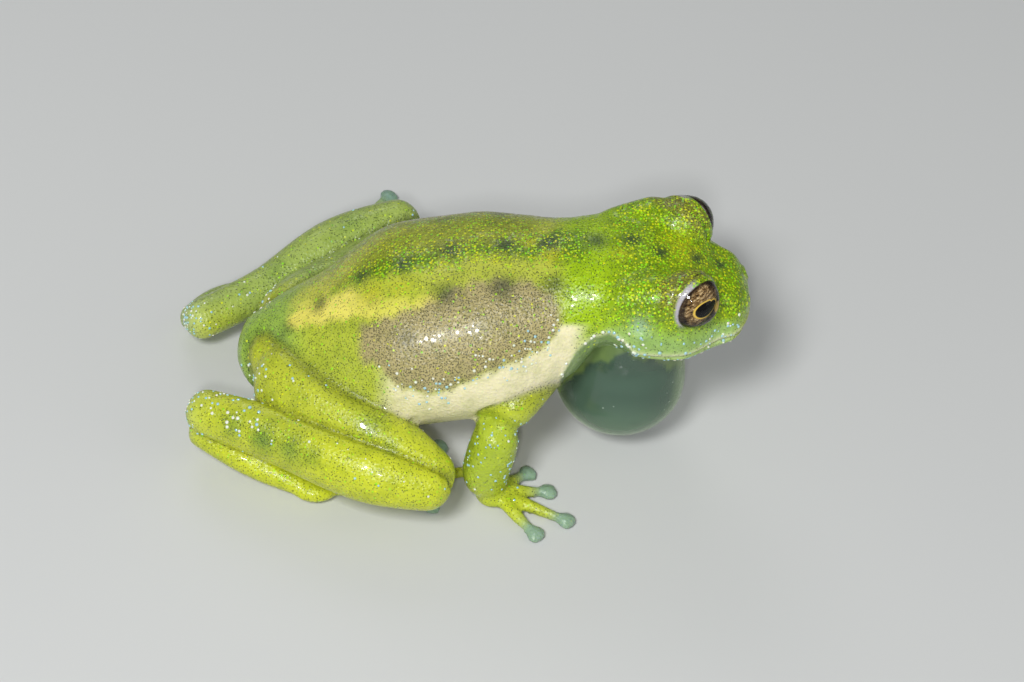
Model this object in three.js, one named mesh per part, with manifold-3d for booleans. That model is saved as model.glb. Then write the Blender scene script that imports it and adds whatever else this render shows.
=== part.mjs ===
// A life-size glass frog, a calling male, on a level floor.
// Millimetres, with +X to the snout, +Y to the frog's left and +Z up.
// Each part of the body is a loft along a spine, and neighbours are parted by thin gaps.
import * as THREE from 'three';
import { LoftGeometry } from 'three/addons/geometries/LoftGeometry.js';
import { mergeVertices } from 'three/addons/utils/BufferGeometryUtils.js';
import Module from 'manifold-3d';

// Driving dimensions
const GAP = 0.3; // between parts that touch
const EYE_GAP = 0.15; // between an eyeball and its socket
const EYE_RADIUS = 1.3;
const LID_RADIUS = 1.55; // outside of the lids round an eyeball
const LID_OPENING = 1.15; // radius of the opening between the lids
const SAC_RADIUS = 3.05;
const FAR = 40; // reaches past the whole frog

const LEFT = 1;
const RIGHT = -1;
const SIDE_NAMES = { [RIGHT]: 'right', [LEFT]: 'left' };
const UP = [0, 0, 1];
const FORWARD = [1, 0, 0];

// The stations of each spine: at is the centre, wide the half width, up and down the half heights.
const HEAD_STATIONS = [
  { at: [4.3, 0, 8.9], wide: 3.4, up: 2.6, down: 1.5 },
  { at: [5.8, 0, 9.3], wide: 3.4, up: 2.45, down: 1.4 },
  { at: [7.5, 0, 9.15], wide: 4.0, up: 2.7, down: 1.65 },
  { at: [9.2, 0, 9.0], wide: 3.85, up: 2.45, down: 1.7 },
  { at: [10.9, 0, 8.95], wide: 2.75, up: 1.75, down: 1.65 },
  { at: [12.5, 0, 9.0], wide: 2.0, up: 1.25, down: 1.25 },
];
const HEAD_LOOK = { sides: 26, rows: 16, startCap: 0.8, endCap: 1.0, square: 2.4 };
// The raised ridge from over the eardrum forwards into the upper eyelid, on the left side.
const BROW_STATIONS = [
  { at: [5.2, 2.35, 10.4], wide: 0.6, up: 0.6, down: 0.6 },
  { at: [6.3, 2.4, 10.6], wide: 0.95, up: 0.95, down: 0.95 },
  { at: [7.2, 2.4, 10.7], wide: 1.2, up: 1.2, down: 1.2 },
  { at: [8.1, 2.45, 10.75], wide: 1.4, up: 1.4, down: 1.4 },
  { at: [9.25, 2.5, 10.7], wide: 1.5, up: 1.5, down: 1.5 },
];
const BROW_LOOK = { sides: 14, rows: 9, startCap: 0.6, endCap: 1.4 };
const TRUNK_STATIONS = [
  { at: [-10.5, 0, 2.75], wide: 1.6, up: 1.3, down: 1.2 },
  { at: [-9.1, 0, 3.35], wide: 2.6, up: 1.8, down: 1.9 },
  { at: [-6.3, 0, 4.5], wide: 3.6, up: 2.5, down: 2.8 },
  { at: [-2.8, 0, 5.9], wide: 5.2, up: 3.85, down: 4.0 },
  { at: [0.6, 0, 6.9], wide: 5.1, up: 3.95, down: 4.1 },
  { at: [3.4, 0, 8.0], wide: 4.2, up: 3.45, down: 3.2 },
  { at: [5.4, 0, 9.0], wide: 3.4, up: 2.8, down: 1.3 },
  { at: [7.0, 0, 9.4], wide: 3.2, up: 2.1, down: 1.1 },
];
const TRUNK_LOOK = { sides: 28, rows: 17, startCap: 1.2, endCap: 0.8, square: 2.15 };
const NECK_CUT = { at: [5.5, 0, 9.1], along: [0.96, 0, 0.28] };
const SAC_STATIONS = [
  { at: [7.22, 0, 0.62], wide: SAC_RADIUS, up: SAC_RADIUS, down: SAC_RADIUS },
  { at: [7.22, 0, 3.67], wide: SAC_RADIUS, up: SAC_RADIUS, down: SAC_RADIUS },
  { at: [7.15, 0, 4.9], wide: 2.92, up: 2.88, down: 2.88 },
  { at: [7.05, 0, 6.1], wide: 2.68, up: 2.6, down: 2.6 },
  { at: [6.95, 0, 7.3], wide: 2.8, up: 2.65, down: 2.5 },
  { at: [6.85, 0, 8.6], wide: 3.0, up: 3.0, down: 2.6 },
];
const SAC_LOOK = { sides: 28, rows: 16, startCap: SAC_RADIUS, endCap: 0.3, over: FORWARD };

const EYE_PLACE = { forward: 9.25, out: 2.5, high: 10.7 };
const GAZE = { forward: 0.66, out: 0.73, high: 0.19 };
const MOUTH = { high: 8.35, slit: 0.14, deep: 0.3, corner: 6.7 };
const LIP = { thick: 0.4, proud: 0.1 };
const NOSTRIL = { forward: 12.2, out: 0.85, high: 9.85, radius: 0.17 };
const EARDRUM = { forward: 6.75, out: 3.8, high: 9.8, radius: 0.6, groove: 0.1 };

const TOE_LENGTHS = [3.8, 5.0, 6.6, 8.8, 5.5];
const FINGER_LENGTHS = [2.3, 2.7, 3.7, 3.0];
const WEB = { from: 0.05, thick: 0.5, reach: 0.5, hollow: 0.36 };

const LIMBS = {
  [RIGHT]: {
    upperArm: [
      { at: [3.8, -2.2, 6.6], wide: 1.2, up: 1.3, down: 1.2 },
      { at: [2.7, -3.7, 6.0], wide: 1.05, up: 1.15, down: 1.1 },
      { at: [1.35, -4.9, 4.85], wide: 1.0, up: 1.0, down: 1.0 },
    ],
    forearm: [
      { at: [1.45, -5.0, 4.8], wide: 1.0, up: 1.0, down: 1.0 },
      { at: [1.2, -5.15, 3.1], wide: 1.12, up: 1.15, down: 1.1 },
      { at: [1.1, -5.2, 1.7], wide: 1.0, up: 1.1, down: 1.1 },
      { at: [1.3, -5.25, 0.5], wide: 0.8, up: 0.8, down: 0.8 },
    ],
    palm: [1.5, -5.3, 0.45],
    fingerTurns: [42, 10, -20, -48],
    thigh: [
      { at: [-8.8, -0.9, 3.6], wide: 1.85, up: 1.85, down: 1.8 },
      { at: [-7.5, -2.7, 3.9], wide: 2.0, up: 1.9, down: 1.9 },
      { at: [-4.6, -4.95, 3.95], wide: 1.7, up: 1.65, down: 1.6 },
      { at: [-0.6, -7.45, 2.95], wide: 0.95, up: 1.0, down: 1.0 },
    ],
    shank: [
      { at: [-0.6, -7.7, 2.95], wide: 1.0, up: 1.05, down: 1.0 },
      { at: [-4.6, -6.9, 3.2], wide: 1.45, up: 1.5, down: 1.45 },
      { at: [-8.8, -4.9, 3.0], wide: 1.2, up: 1.4, down: 1.35 },
      { at: [-12.7, -3.1, 2.55], wide: 1.0, up: 1.05, down: 1.0 },
    ],
    tarsus: [
      { at: [-12.5, -3.4, 1.85], wide: 0.85, up: 0.8, down: 0.8 },
      { at: [-9.6, -4.7, 0.9], wide: 0.75, up: 0.65, down: 0.7 },
      { at: [-7.1, -5.45, 0.55], wide: 0.85, up: 0.55, down: 0.6 },
    ],
    sole: [-6.7, -5.6, 0.5],
    toeTurns: [62, 46, 28.5, 13, -6],
  },
  [LEFT]: {
    upperArm: [
      { at: [4.2, 2.2, 6.4], wide: 1.2, up: 1.3, down: 1.3 },
      { at: [3.3, 3.8, 5.7], wide: 1.05, up: 1.15, down: 1.15 },
      { at: [2.0, 5.1, 4.45], wide: 0.92, up: 0.95, down: 0.95 },
    ],
    forearm: [
      { at: [2.05, 5.15, 4.55], wide: 0.9, up: 0.9, down: 0.9 },
      { at: [2.2, 5.35, 3.0], wide: 1.05, up: 1.0, down: 1.0 },
      { at: [2.4, 5.5, 1.6], wide: 0.95, up: 1.05, down: 1.05 },
      { at: [2.6, 5.55, 0.5], wide: 0.8, up: 0.75, down: 0.75 },
    ],
    palm: [2.9, 5.6, 0.45],
    fingerTurns: [-36, -6, 24, 54],
    thigh: [
      { at: [-8.7, 0.9, 3.3], wide: 1.8, up: 1.75, down: 1.7 },
      { at: [-7.6, 2.9, 3.2], wide: 1.85, up: 1.75, down: 1.7 },
      { at: [-5.2, 5.4, 3.25], wide: 1.6, up: 1.5, down: 1.45 },
      { at: [-2.2, 8.6, 3.5], wide: 1.2, up: 1.2, down: 1.15 },
    ],
    shank: [
      { at: [-2.2, 9.3, 3.7], wide: 1.2, up: 1.25, down: 1.2 },
      { at: [-6.0, 7.75, 3.0], wide: 1.4, up: 1.45, down: 1.45 },
      { at: [-9.7, 5.1, 2.2], wide: 1.0, up: 1.0, down: 1.0 },
      { at: [-13.1, 2.9, 1.65], wide: 0.95, up: 0.95, down: 0.95 },
    ],
    tarsus: [
      { at: [-13.0, 3.5, 1.2], wide: 0.8, up: 0.7, down: 0.7 },
      { at: [-11.5, 5.8, 0.72], wide: 0.75, up: 0.6, down: 0.65 },
      { at: [-8.9, 6.9, 0.55], wide: 0.85, up: 0.5, down: 0.6 },
    ],
    sole: [-8.2, 7.0, 0.5],
    toeTurns: [0, 20, 40, 57.6, 66.5],
  },
};

const SKIN = new THREE.MeshStandardMaterial({ color: 0x8fae1e, roughness: 0.4, metalness: 0 });
const LIMB = new THREE.MeshStandardMaterial({ color: 0xa9b83a, roughness: 0.4, metalness: 0 });
const MEMBRANE = new THREE.MeshStandardMaterial({ color: 0x6f8a7c, roughness: 0.2, metalness: 0 });
const EYE = new THREE.MeshStandardMaterial({ color: 0x6b5638, roughness: 0.1, metalness: 0 });

const wasm = await Module();
wasm.setup();

// How much of its full size a ring keeps at a distance from the end of the spine.
function rounding(distance, cap) {
  return distance < cap ? Math.sqrt(1 - (1 - distance / cap) ** 2) : 1;
}

// A smooth body through the stations: rings across the spine, close together at its round ends.
function loft(stations, look, grow = 0) {
  const { sides, rows, startCap, endCap, square = 2, over = UP } = look;
  const spine = new THREE.CatmullRomCurve3(stations.map((s) => new THREE.Vector3(...s.at)));
  const sizes = new THREE.CatmullRomCurve3(stations.map((s) => new THREE.Vector3(s.wide, s.up, s.down)));
  const length = spine.getLength();
  const sections = [];
  for (let i = 0; i < rows; i += 1) {
    const share = (1 - Math.cos((Math.PI * (i + 0.5)) / rows)) / 2;
    const t = spine.getUtoTmapping(share);
    const round = rounding(share * length, startCap) * rounding((1 - share) * length, endCap);
    const centre = spine.getPoint(t);
    const along = spine.getTangent(t);
    const side = new THREE.Vector3(...over).cross(along).normalize();
    const high = along.clone().cross(side);
    const size = sizes.getPoint(t).addScalar(grow).multiplyScalar(round);
    const ring = [];
    for (let j = 0; j < sides; j += 1) {
      const angle = (2 * Math.PI * j) / sides;
      const c = Math.sign(Math.cos(angle)) * Math.abs(Math.cos(angle)) ** (2 / square);
      const s = Math.sign(Math.sin(angle)) * Math.abs(Math.sin(angle)) ** (2 / square);
      ring.push(centre.clone()
        .addScaledVector(side, c * size.x)
        .addScaledVector(high, s * (s > 0 ? size.y : size.z)));
    }
    sections.push(ring);
  }
  return solid(new LoftGeometry(sections, { capStart: true, capEnd: true }));
}

// A three.js geometry as a closed solid.
function solid(geometry) {
  const plain = geometry.index ? geometry.toNonIndexed() : geometry.clone();
  plain.deleteAttribute('normal');
  plain.deleteAttribute('uv');
  const merged = mergeVertices(plain, 1e-5);
  const corners = merged.index.array;
  const kept = [];
  for (let i = 0; i < corners.length; i += 3) {
    const [a, b, c] = [corners[i], corners[i + 1], corners[i + 2]];
    if (a !== b && b !== c && a !== c) kept.push(a, b, c);
  }
  return new wasm.Manifold(new wasm.Mesh({
    numProp: 3,
    vertProperties: merged.attributes.position.array,
    triVerts: new Uint32Array(kept),
  }));
}

// A solid as a three.js geometry.
function geometryOf(body) {
  const mesh = body.getMesh();
  const geometry = new THREE.BufferGeometry();
  geometry.setAttribute('position', new THREE.BufferAttribute(mesh.vertProperties, 3));
  geometry.setIndex(new THREE.BufferAttribute(mesh.triVerts, 1));
  geometry.computeVertexNormals();
  return geometry;
}

// The largest closed piece of a solid, without the slivers that a cut leaves loose.
function largest(body) {
  return body.decompose().reduce((a, b) => (b.volume() > a.volume() ? b : a));
}

function ball(radius, at, across = 20, scale = [1, 1, 1]) {
  return solid(new THREE.SphereGeometry(radius, across, across / 2)
    .scale(...scale)
    .translate(...at));
}

// All that lies beyond a plane, from a shift along its direction onwards.
function beyond(at, along, shift = 0) {
  const direction = new THREE.Vector3(...along).normalize();
  const turn = new THREE.Quaternion().setFromUnitVectors(new THREE.Vector3(0, 0, 1), direction);
  const centre = new THREE.Vector3(...at).addScaledVector(direction, shift + FAR / 2);
  return solid(new THREE.BoxGeometry(FAR * 2, FAR * 2, FAR)
    .applyQuaternion(turn)
    .translate(centre.x, centre.y, centre.z));
}

// Two bodies parted along a plane with half the gap on each side: the first keeps what lies before it.
function part(first, second, at, along) {
  const back = along.map((v) => -v);
  return [
    first.subtract(beyond(at, along, -GAP / 2)),
    second.subtract(beyond(at, back, -GAP / 2)),
  ];
}

// Two bodies folded back on each other at a joint, parted along the plane midway between them.
function partFold(first, second, firstSpine, secondSpine) {
  const joint = new THREE.Vector3(...firstSpine.at(-1).at)
    .add(new THREE.Vector3(...secondSpine[0].at))
    .multiplyScalar(0.5);
  const back = new THREE.Vector3(...firstSpine.at(-2).at).sub(joint).normalize();
  const onward = new THREE.Vector3(...secondSpine[1].at).sub(joint).normalize();
  return part(first, second, joint.toArray(), onward.sub(back).toArray());
}

function sideOf(place, side) {
  return [place.forward, side * place.out, place.high];
}

// A level slab round the front of the head, from the corners of the mouth onwards.
function mouthSlab(low, thick) {
  return solid(new THREE.BoxGeometry(FAR, FAR, thick)
    .translate(MOUTH.corner + FAR / 2, 0, low + thick / 2));
}

// What is cut from the head for an eye: the socket, and a round opening between the lids.
function eyeCut(side) {
  const at = sideOf(EYE_PLACE, side);
  const turn = new THREE.Quaternion().setFromUnitVectors(
    new THREE.Vector3(0, 1, 0),
    new THREE.Vector3(...sideOf(GAZE, side)).normalize(),
  );
  const opening = solid(new THREE.CylinderGeometry(LID_OPENING, LID_OPENING * 0.8, 3, 20)
    .translate(0, 1.5, 0)
    .applyQuaternion(turn)
    .translate(...at));
  return ball(EYE_RADIUS + EYE_GAP, at).add(opening);
}

function eardrumGroove(side) {
  return solid(new THREE.TorusGeometry(EARDRUM.radius, EARDRUM.groove, 5, 16)
    .rotateX(Math.PI / 2)
    .translate(...sideOf(EARDRUM, side)));
}

function makeHead() {
  const lip = mouthSlab(MOUTH.high + MOUTH.slit, LIP.thick)
    .intersect(loft(HEAD_STATIONS, HEAD_LOOK, LIP.proud));
  const slit = mouthSlab(MOUTH.high, MOUTH.slit)
    .subtract(loft(HEAD_STATIONS, HEAD_LOOK, -MOUTH.deep));
  let head = loft(HEAD_STATIONS, HEAD_LOOK).add(lip).subtract(slit);
  [LEFT, RIGHT].forEach((side) => {
    const brow = loft(BROW_STATIONS, BROW_LOOK).scale([1, side, 1]);
    head = head.add(ball(LID_RADIUS, sideOf(EYE_PLACE, side))).add(brow);
  });
  [LEFT, RIGHT].forEach((side) => {
    head = head.subtract(eyeCut(side))
      .subtract(ball(NOSTRIL.radius, sideOf(NOSTRIL, side), 8))
      .subtract(eardrumGroove(side));
  });
  return head;
}

// A point of a finger or toe, at a distance from its root and a height over the floor.
function digitPoint(root, turnDegrees, distance, high) {
  const turn = THREE.MathUtils.degToRad(turnDegrees);
  return [root[0] + Math.cos(turn) * distance, root[1] + Math.sin(turn) * distance, high];
}

// One finger or toe from its root: a slim rod, with a wide flat disc at its tip that stands on the floor.
function digit(root, turn, length, thick, disc) {
  const rod = loft([
    { at: digitPoint(root, turn, 0, root[2]), wide: thick * 1.4, up: thick, down: thick },
    { at: digitPoint(root, turn, length * 0.5, thick * 1.4), wide: thick, up: thick, down: thick },
    { at: digitPoint(root, turn, length, thick), wide: thick, up: thick * 0.9, down: thick },
  ], { sides: 6, rows: 5, startCap: 0.2, endCap: 0.2 });
  return rod.add(ball(disc, digitPoint(root, turn, length, disc * 0.35), 10, [1, 1, 0.55]));
}

// The thin web between the toes, hollowed between each two.
function web(root, turns, lengths) {
  const shape = new THREE.Shape();
  shape.moveTo(root[0], root[1]);
  turns.forEach((turn, i) => {
    const [x, y] = digitPoint(root, turn, lengths[i] * WEB.reach, 0);
    if (i === 0) {
      shape.lineTo(x, y);
      return;
    }
    const reach = ((lengths[i] + lengths[i - 1]) / 2) * WEB.hollow;
    const [midX, midY] = digitPoint(root, (turn + turns[i - 1]) / 2, reach, 0);
    shape.quadraticCurveTo(midX, midY, x, y);
  });
  shape.closePath();
  return solid(new THREE.ExtrudeGeometry(shape, { depth: WEB.thick, bevelEnabled: false, curveSegments: 4 })
    .translate(0, 0, WEB.from));
}

const group = new THREE.Group();

function addNode(name, body, material) {
  const mesh = new THREE.Mesh(geometryOf(largest(body)), material);
  mesh.name = name;
  group.add(mesh);
}

const floor = beyond([0, 0, 0], [0, 0, -1]);
const trunkRoom = loft(TRUNK_STATIONS, TRUNK_LOOK, GAP);
const headRoom = loft(HEAD_STATIONS, HEAD_LOOK, GAP);
const [trunk, head] = part(loft(TRUNK_STATIONS, TRUNK_LOOK), makeHead(), NECK_CUT.at, NECK_CUT.along);
addNode('trunk', trunk, SKIN);
addNode('head', head, SKIN);
addNode('vocal_sac', loft(SAC_STATIONS, SAC_LOOK).subtract(headRoom).subtract(trunkRoom), MEMBRANE);

[RIGHT, LEFT].forEach((side) => {
  const name = SIDE_NAMES[side];
  const limb = LIMBS[side];
  addNode(`eye_${name}`, ball(EYE_RADIUS, sideOf(EYE_PLACE, side)), EYE);

  const arm = loft(limb.upperArm, { sides: 14, rows: 9, startCap: 0.8, endCap: 0.9 });
  const lower = loft(limb.forearm, { sides: 14, rows: 9, startCap: 0.8, endCap: 0.3, over: FORWARD });
  const [upperArm, forearmWhole] = partFold(arm, lower, limb.upperArm, limb.forearm);
  let handWhole = ball(0.8, limb.palm, 14, [1, 1, 0.62]);
  FINGER_LENGTHS.forEach((length, i) => {
    handWhole = handWhole.add(digit(limb.palm, limb.fingerTurns[i], length, 0.27, 0.5));
  });
  const wrist = [limb.palm[0], limb.palm[1], 1.05];
  const [forearm, hand] = part(forearmWhole, handWhole, wrist, [0, 0, -1]);
  addNode(`arm_upper_${name}`, upperArm.subtract(trunkRoom).subtract(headRoom), LIMB);
  addNode(`forearm_${name}`, forearm, LIMB);
  addNode(`hand_${name}`, hand.subtract(floor), LIMB);

  const [thigh, shankWhole] = partFold(
    loft(limb.thigh, { sides: 18, rows: 12, startCap: 1.4, endCap: 1.0 }),
    loft(limb.shank, { sides: 18, rows: 14, startCap: 1.0, endCap: 0.9 }),
    limb.thigh,
    limb.shank,
  );
  const [shank, tarsusWhole] = partFold(
    shankWhole,
    loft(limb.tarsus, { sides: 12, rows: 9, startCap: 0.7, endCap: 0.3 }),
    limb.shank,
    limb.tarsus,
  );
  let footWhole = ball(1.0, limb.sole, 14, [1.1, 1, 0.5]).add(web(limb.sole, limb.toeTurns, TOE_LENGTHS));
  TOE_LENGTHS.forEach((length, i) => {
    footWhole = footWhole.add(digit(limb.sole, limb.toeTurns[i], length, 0.28, 0.5));
  });
  const ankle = new THREE.Vector3(...limb.tarsus[2].at);
  const onward = ankle.clone().sub(new THREE.Vector3(...limb.tarsus[1].at)).setZ(0);
  const [tarsus, foot] = part(tarsusWhole, footWhole, ankle.toArray(), onward.toArray());
  addNode(`thigh_${name}`, thigh.subtract(trunkRoom), LIMB);
  addNode(`shank_${name}`, shank, LIMB);
  addNode(`tarsus_${name}`, tarsus.subtract(floor), LIMB);
  addNode(`foot_${name}`, foot.subtract(floor), LIMB);
});

// The frog stands on its own origin: the middle of its bounding box on the floor.
const box = new THREE.Box3().setFromObject(group);
const middle = box.getCenter(new THREE.Vector3());
group.position.set(-middle.x, -middle.y, -box.min.z);

export default group;
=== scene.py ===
"""A life-size glass frog, a calling male with its throat sac full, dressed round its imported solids.

Shapes are worked out in millimetres in the frog's own frame: +X to the snout, +Y to its left, +Z up,
and the floor at z = 0. The last step of each piece moves it to the row frame, in metres.
"""

from __future__ import annotations

import logging
from dataclasses import dataclass, field
from enum import Enum
from typing import Callable, Mapping, Sequence

import bmesh
import bpy
import numpy as np
from mathutils import Matrix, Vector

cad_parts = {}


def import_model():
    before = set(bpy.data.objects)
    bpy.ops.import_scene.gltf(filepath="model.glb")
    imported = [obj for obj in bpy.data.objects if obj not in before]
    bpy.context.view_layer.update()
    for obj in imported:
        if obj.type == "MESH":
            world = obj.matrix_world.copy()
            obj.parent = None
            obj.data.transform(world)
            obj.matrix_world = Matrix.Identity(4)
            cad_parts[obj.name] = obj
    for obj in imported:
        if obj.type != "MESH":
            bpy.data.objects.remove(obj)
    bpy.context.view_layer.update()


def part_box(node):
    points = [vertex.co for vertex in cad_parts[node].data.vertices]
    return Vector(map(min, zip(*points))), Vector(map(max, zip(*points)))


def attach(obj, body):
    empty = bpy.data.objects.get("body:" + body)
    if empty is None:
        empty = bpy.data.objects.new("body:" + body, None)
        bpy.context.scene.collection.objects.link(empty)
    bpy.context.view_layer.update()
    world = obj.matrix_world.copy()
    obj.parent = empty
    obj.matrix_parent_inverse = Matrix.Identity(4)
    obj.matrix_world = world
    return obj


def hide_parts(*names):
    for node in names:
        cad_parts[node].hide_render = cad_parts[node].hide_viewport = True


LOG = logging.getLogger("glass_frog")
Array = np.ndarray
Triple = tuple[float, float, float]
MM = 0.001


class Side(Enum):
    """The two sides of the frog, as the sign of y."""

    LEFT = 1
    RIGHT = -1

    @property
    def word(self) -> str:
        """The side's name as the nodes spell it."""
        return self.name.lower()

    def place(self, at: Triple) -> Triple:
        """A place that is given for the left, on this side."""
        return (at[0], self.value * at[1], at[2])


# The middle of the right eye's solid, by which the frog's origin is found in the frame.
EYE_SOLID = (9.25, -2.5, 10.7)

# Places, directions and sizes that several pieces share, given for the left side.
EYE_CENTRE = (9.33, 2.42, 10.98)
GAZE = (0.66, 0.73, 0.19)
EYE_LEVEL = (0.727, -0.681, 0.072)
LID_CENTRE = (9.05, 2.45, 10.8)
LID_RADIUS = 1.5
EARDRUM = (7.15, 3.7, 10.3)
NOSTRIL = (12.35, 0.9, 9.75)
HOLLOW = (11.1, 2.4, 9.3)
MOUTH_HEIGHT = 8.6
MOUTH_CORNER = 6.7

# A point's products with these two give its place on the slanted chart of the right flank.
CHART_ACROSS = (0.994, -0.013, 0.108)
CHART_UP = (-0.067, 0.712, 0.699)


def gauss(distance: Array, reach: float) -> Array:
    """A bell that is one at distance zero and falls to 1/e at reach."""
    return np.exp(-((distance / reach) ** 2))


def ramp(value: Array, low: float | Array, high: float | Array) -> Array:
    """A smooth step from zero at low to one at high."""
    share = np.clip((value - low) / (high - low), 0.0, 1.0)
    return share * share * (3.0 - 2.0 * share)


def blend(first: Array, second: Sequence[float] | Array, share: Array) -> Array:
    """Rows of first turned into second by the share of each row."""
    return first + (np.asarray(second) - first) * share[:, None]


def unit(vector: Sequence[float] | Array) -> Array:
    """The vector, or each row, at length one."""
    found = np.asarray(vector, float)
    return found / np.linalg.norm(found, axis=-1, keepdims=True)


def catmull(points: Array, place: Array) -> Array:
    """A centripetal Catmull-Rom curve through the points.

    The tangents at both ends of a span weigh the slopes of the chords beside it by the square roots of
    the chords' lengths, and a cubic joins the span's two points with those tangents.

    Args:
        points: One row a point.
        place: Parameters from 0 to 1, an equal share for each span.

    Returns:
        One row for each parameter.
    """
    spans = len(points) - 1
    padded = np.vstack([2 * points[0] - points[1], points, 2 * points[-1] - points[-2]])
    scaled = np.clip(place, 0.0, 1.0) * spans
    start = np.minimum(scaled.astype(int), spans - 1)
    w = (scaled - start)[:, None]
    p0, p1, p2, p3 = (padded[start + k] for k in range(4))
    chords = ((p0, p1), (p1, p2), (p2, p3))
    d0, d1, d2 = (np.sqrt(np.linalg.norm(b - a, axis=1))[:, None] for a, b in chords)
    d1 = np.where(d1 < 1e-4, 1.0, d1)
    d0 = np.where(d0 < 1e-4, d1, d0)
    d2 = np.where(d2 < 1e-4, d1, d2)
    t1 = ((p1 - p0) / d0 - (p2 - p0) / (d0 + d1) + (p2 - p1) / d1) * d1
    t2 = ((p2 - p1) / d1 - (p3 - p1) / (d1 + d2) + (p3 - p2) / d2) * d1
    return p1 + t1 * w + (3 * (p2 - p1) - 2 * t1 - t2) * w**2 + (2 * (p1 - p2) + t1 + t2) * w**3


@dataclass
class Surface:
    """Points in millimetres and the faces between them, as quads."""

    points: Array
    faces: Array

    def joined(self, other: "Surface") -> "Surface":
        """Both surfaces as one."""
        faces = np.vstack([self.faces, other.faces + len(self.points)])
        return Surface(np.vstack([self.points, other.points]), faces)


def closed_tube(rings: Array) -> Surface:
    """A tube closed at each end by a fan to the end ring's middle.

    Each fan's triangle is written as a quad with its middle point twice over, to keep one face size.

    Args:
        rings: The rings' points, shape (rows, sides, 3), counted so that the faces look outwards.

    Returns:
        The closed surface.
    """
    rows, sides, _ = rings.shape
    points = np.vstack([rings.reshape(-1, 3), rings[0].mean(0), rings[-1].mean(0)])
    here = np.arange(sides)
    onward = (here + 1) % sides
    row = np.arange(rows - 1)[:, None] * sides
    wall = np.stack([row + here, row + onward, row + sides + onward, row + sides + here], -1)
    first = np.full(sides, rows * sides)
    last = first + 1
    end = (rows - 1) * sides
    start_cap = np.stack([onward, here, first, first], 1)
    end_cap = np.stack([end + here, end + onward, last, last], 1)
    return Surface(points, np.vstack([wall.reshape(-1, 4), start_cap, end_cap]))


def ball(centre: Sequence[float], radius: float, scale: Triple = (1.0, 1.0, 1.0), sides: int = 32) -> Surface:
    """A sphere or ellipsoid: p = centre + radius * scale * (sin a cos b, sin a sin b, -cos a).

    Args:
        centre: Its middle.
        radius: Its radius before the scale.
        scale: How far it is stretched along x, y and z.
        sides: Points in a ring. It has half as many rings.

    Returns:
        The closed surface.
    """
    rows = sides // 2
    a = np.pi * (np.arange(rows) + 0.5)[:, None] / rows
    b = 2 * np.pi * np.arange(sides)[None, :] / sides
    shape = np.stack([np.sin(a) * np.cos(b), np.sin(a) * np.sin(b), -np.cos(a) * np.ones_like(b)], -1)
    return closed_tube(np.asarray(centre) + radius * shape * np.asarray(scale))


@dataclass(frozen=True)
class Station:
    """One cross-section of a loft: its centre, half width, and half heights over and under the centre."""

    at: Triple
    wide: float
    up: float
    down: float


@dataclass(frozen=True)
class Loft:
    """A smooth closed body through stations, with rounded ends.

    A ring's point at angle a is centre + wide * c(a) * side + (up or down) * s(a) * high, where c and s
    are the signed powers |cos|^(2/square) and |sin|^(2/square), and each end shrinks as a circle does.
    """

    stations: tuple[Station, ...]
    start_cap: float = 0.8
    end_cap: float = 0.8
    square: float = 2.0
    over: Triple = (0.0, 0.0, 1.0)
    sides: int = 48
    rows: int = 60

    def _middle(self) -> Array:
        """The stations' centres, one row each."""
        return np.array([s.at for s in self.stations])

    def _sections(self, place: Array) -> tuple[Array, Array, Array, Array, Array]:
        """The cross-sections at some places along the loft.

        Args:
            place: Parameters from 0 at the first station to 1 at the last.

        Returns:
            Each section's centre, the directions along the loft, to its side and over it, and its
            (wide, up, down).
        """
        middle = self._middle()
        sizes = np.array([(s.wide, s.up, s.down) for s in self.stations])
        along = unit(catmull(middle, place + 1e-3) - catmull(middle, place - 1e-3))
        side = unit(np.cross(np.asarray(self.over), along))
        return catmull(middle, place), along, side, np.cross(along, side), catmull(sizes, place)

    def surface(self) -> Surface:
        """The loft's surface, its rings closer together towards both ends.

        Returns:
            The closed surface.
        """
        fine = np.linspace(0.0, 1.0, 400)
        steps = np.linalg.norm(np.diff(catmull(self._middle(), fine), axis=0), axis=1)
        run = np.concatenate([[0.0], np.cumsum(steps)])
        share = (1.0 - np.cos(np.pi * (np.arange(self.rows) + 0.5) / self.rows)) / 2.0
        from_start = np.clip(1.0 - share * run[-1] / self.start_cap, 0.0, 1.0)
        from_end = np.clip(1.0 - (1.0 - share) * run[-1] / self.end_cap, 0.0, 1.0)
        shrink = np.sqrt(1.0 - from_start**2) * np.sqrt(1.0 - from_end**2)
        centre, _, side, high, size = self._sections(np.interp(share * run[-1], run, fine))
        size = size * shrink[:, None]
        angle = 2 * np.pi * np.arange(self.sides) / self.sides
        c = np.sign(np.cos(angle)) * np.abs(np.cos(angle)) ** (2 / self.square)
        s = np.sign(np.sin(angle)) * np.abs(np.sin(angle)) ** (2 / self.square)
        width = (size[:, :1] * c)[..., None]
        height = (np.where(s > 0, size[:, 1:2], size[:, 2:3]) * s)[..., None]
        return closed_tube(centre[:, None] + width * side[:, None] + height * high[:, None])

    def closeness(self, points: Array, steps: int = 26) -> Array:
        """How far out of the loft's middle each point lies, where one is its surface.

        At each step along the middle line a point's offset is measured in the section's own sizes, and
        along the line in its width. The least of these lengths counts.

        Args:
            points: The points to measure.
            steps: How many sections are tried.

        Returns:
            One number a point.
        """
        least = np.full(len(points), 1e9)
        for centre, along, side, high, (wide, up, down) in zip(*self._sections(np.linspace(0.0, 1.0, steps))):
            away = points - centre
            lift = away @ high
            offset = ((away @ side) / wide) ** 2 + (lift / np.where(lift > 0, up, down)) ** 2
            least = np.minimum(least, offset + ((away @ along) / wide) ** 2)
        return np.sqrt(least)


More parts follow.
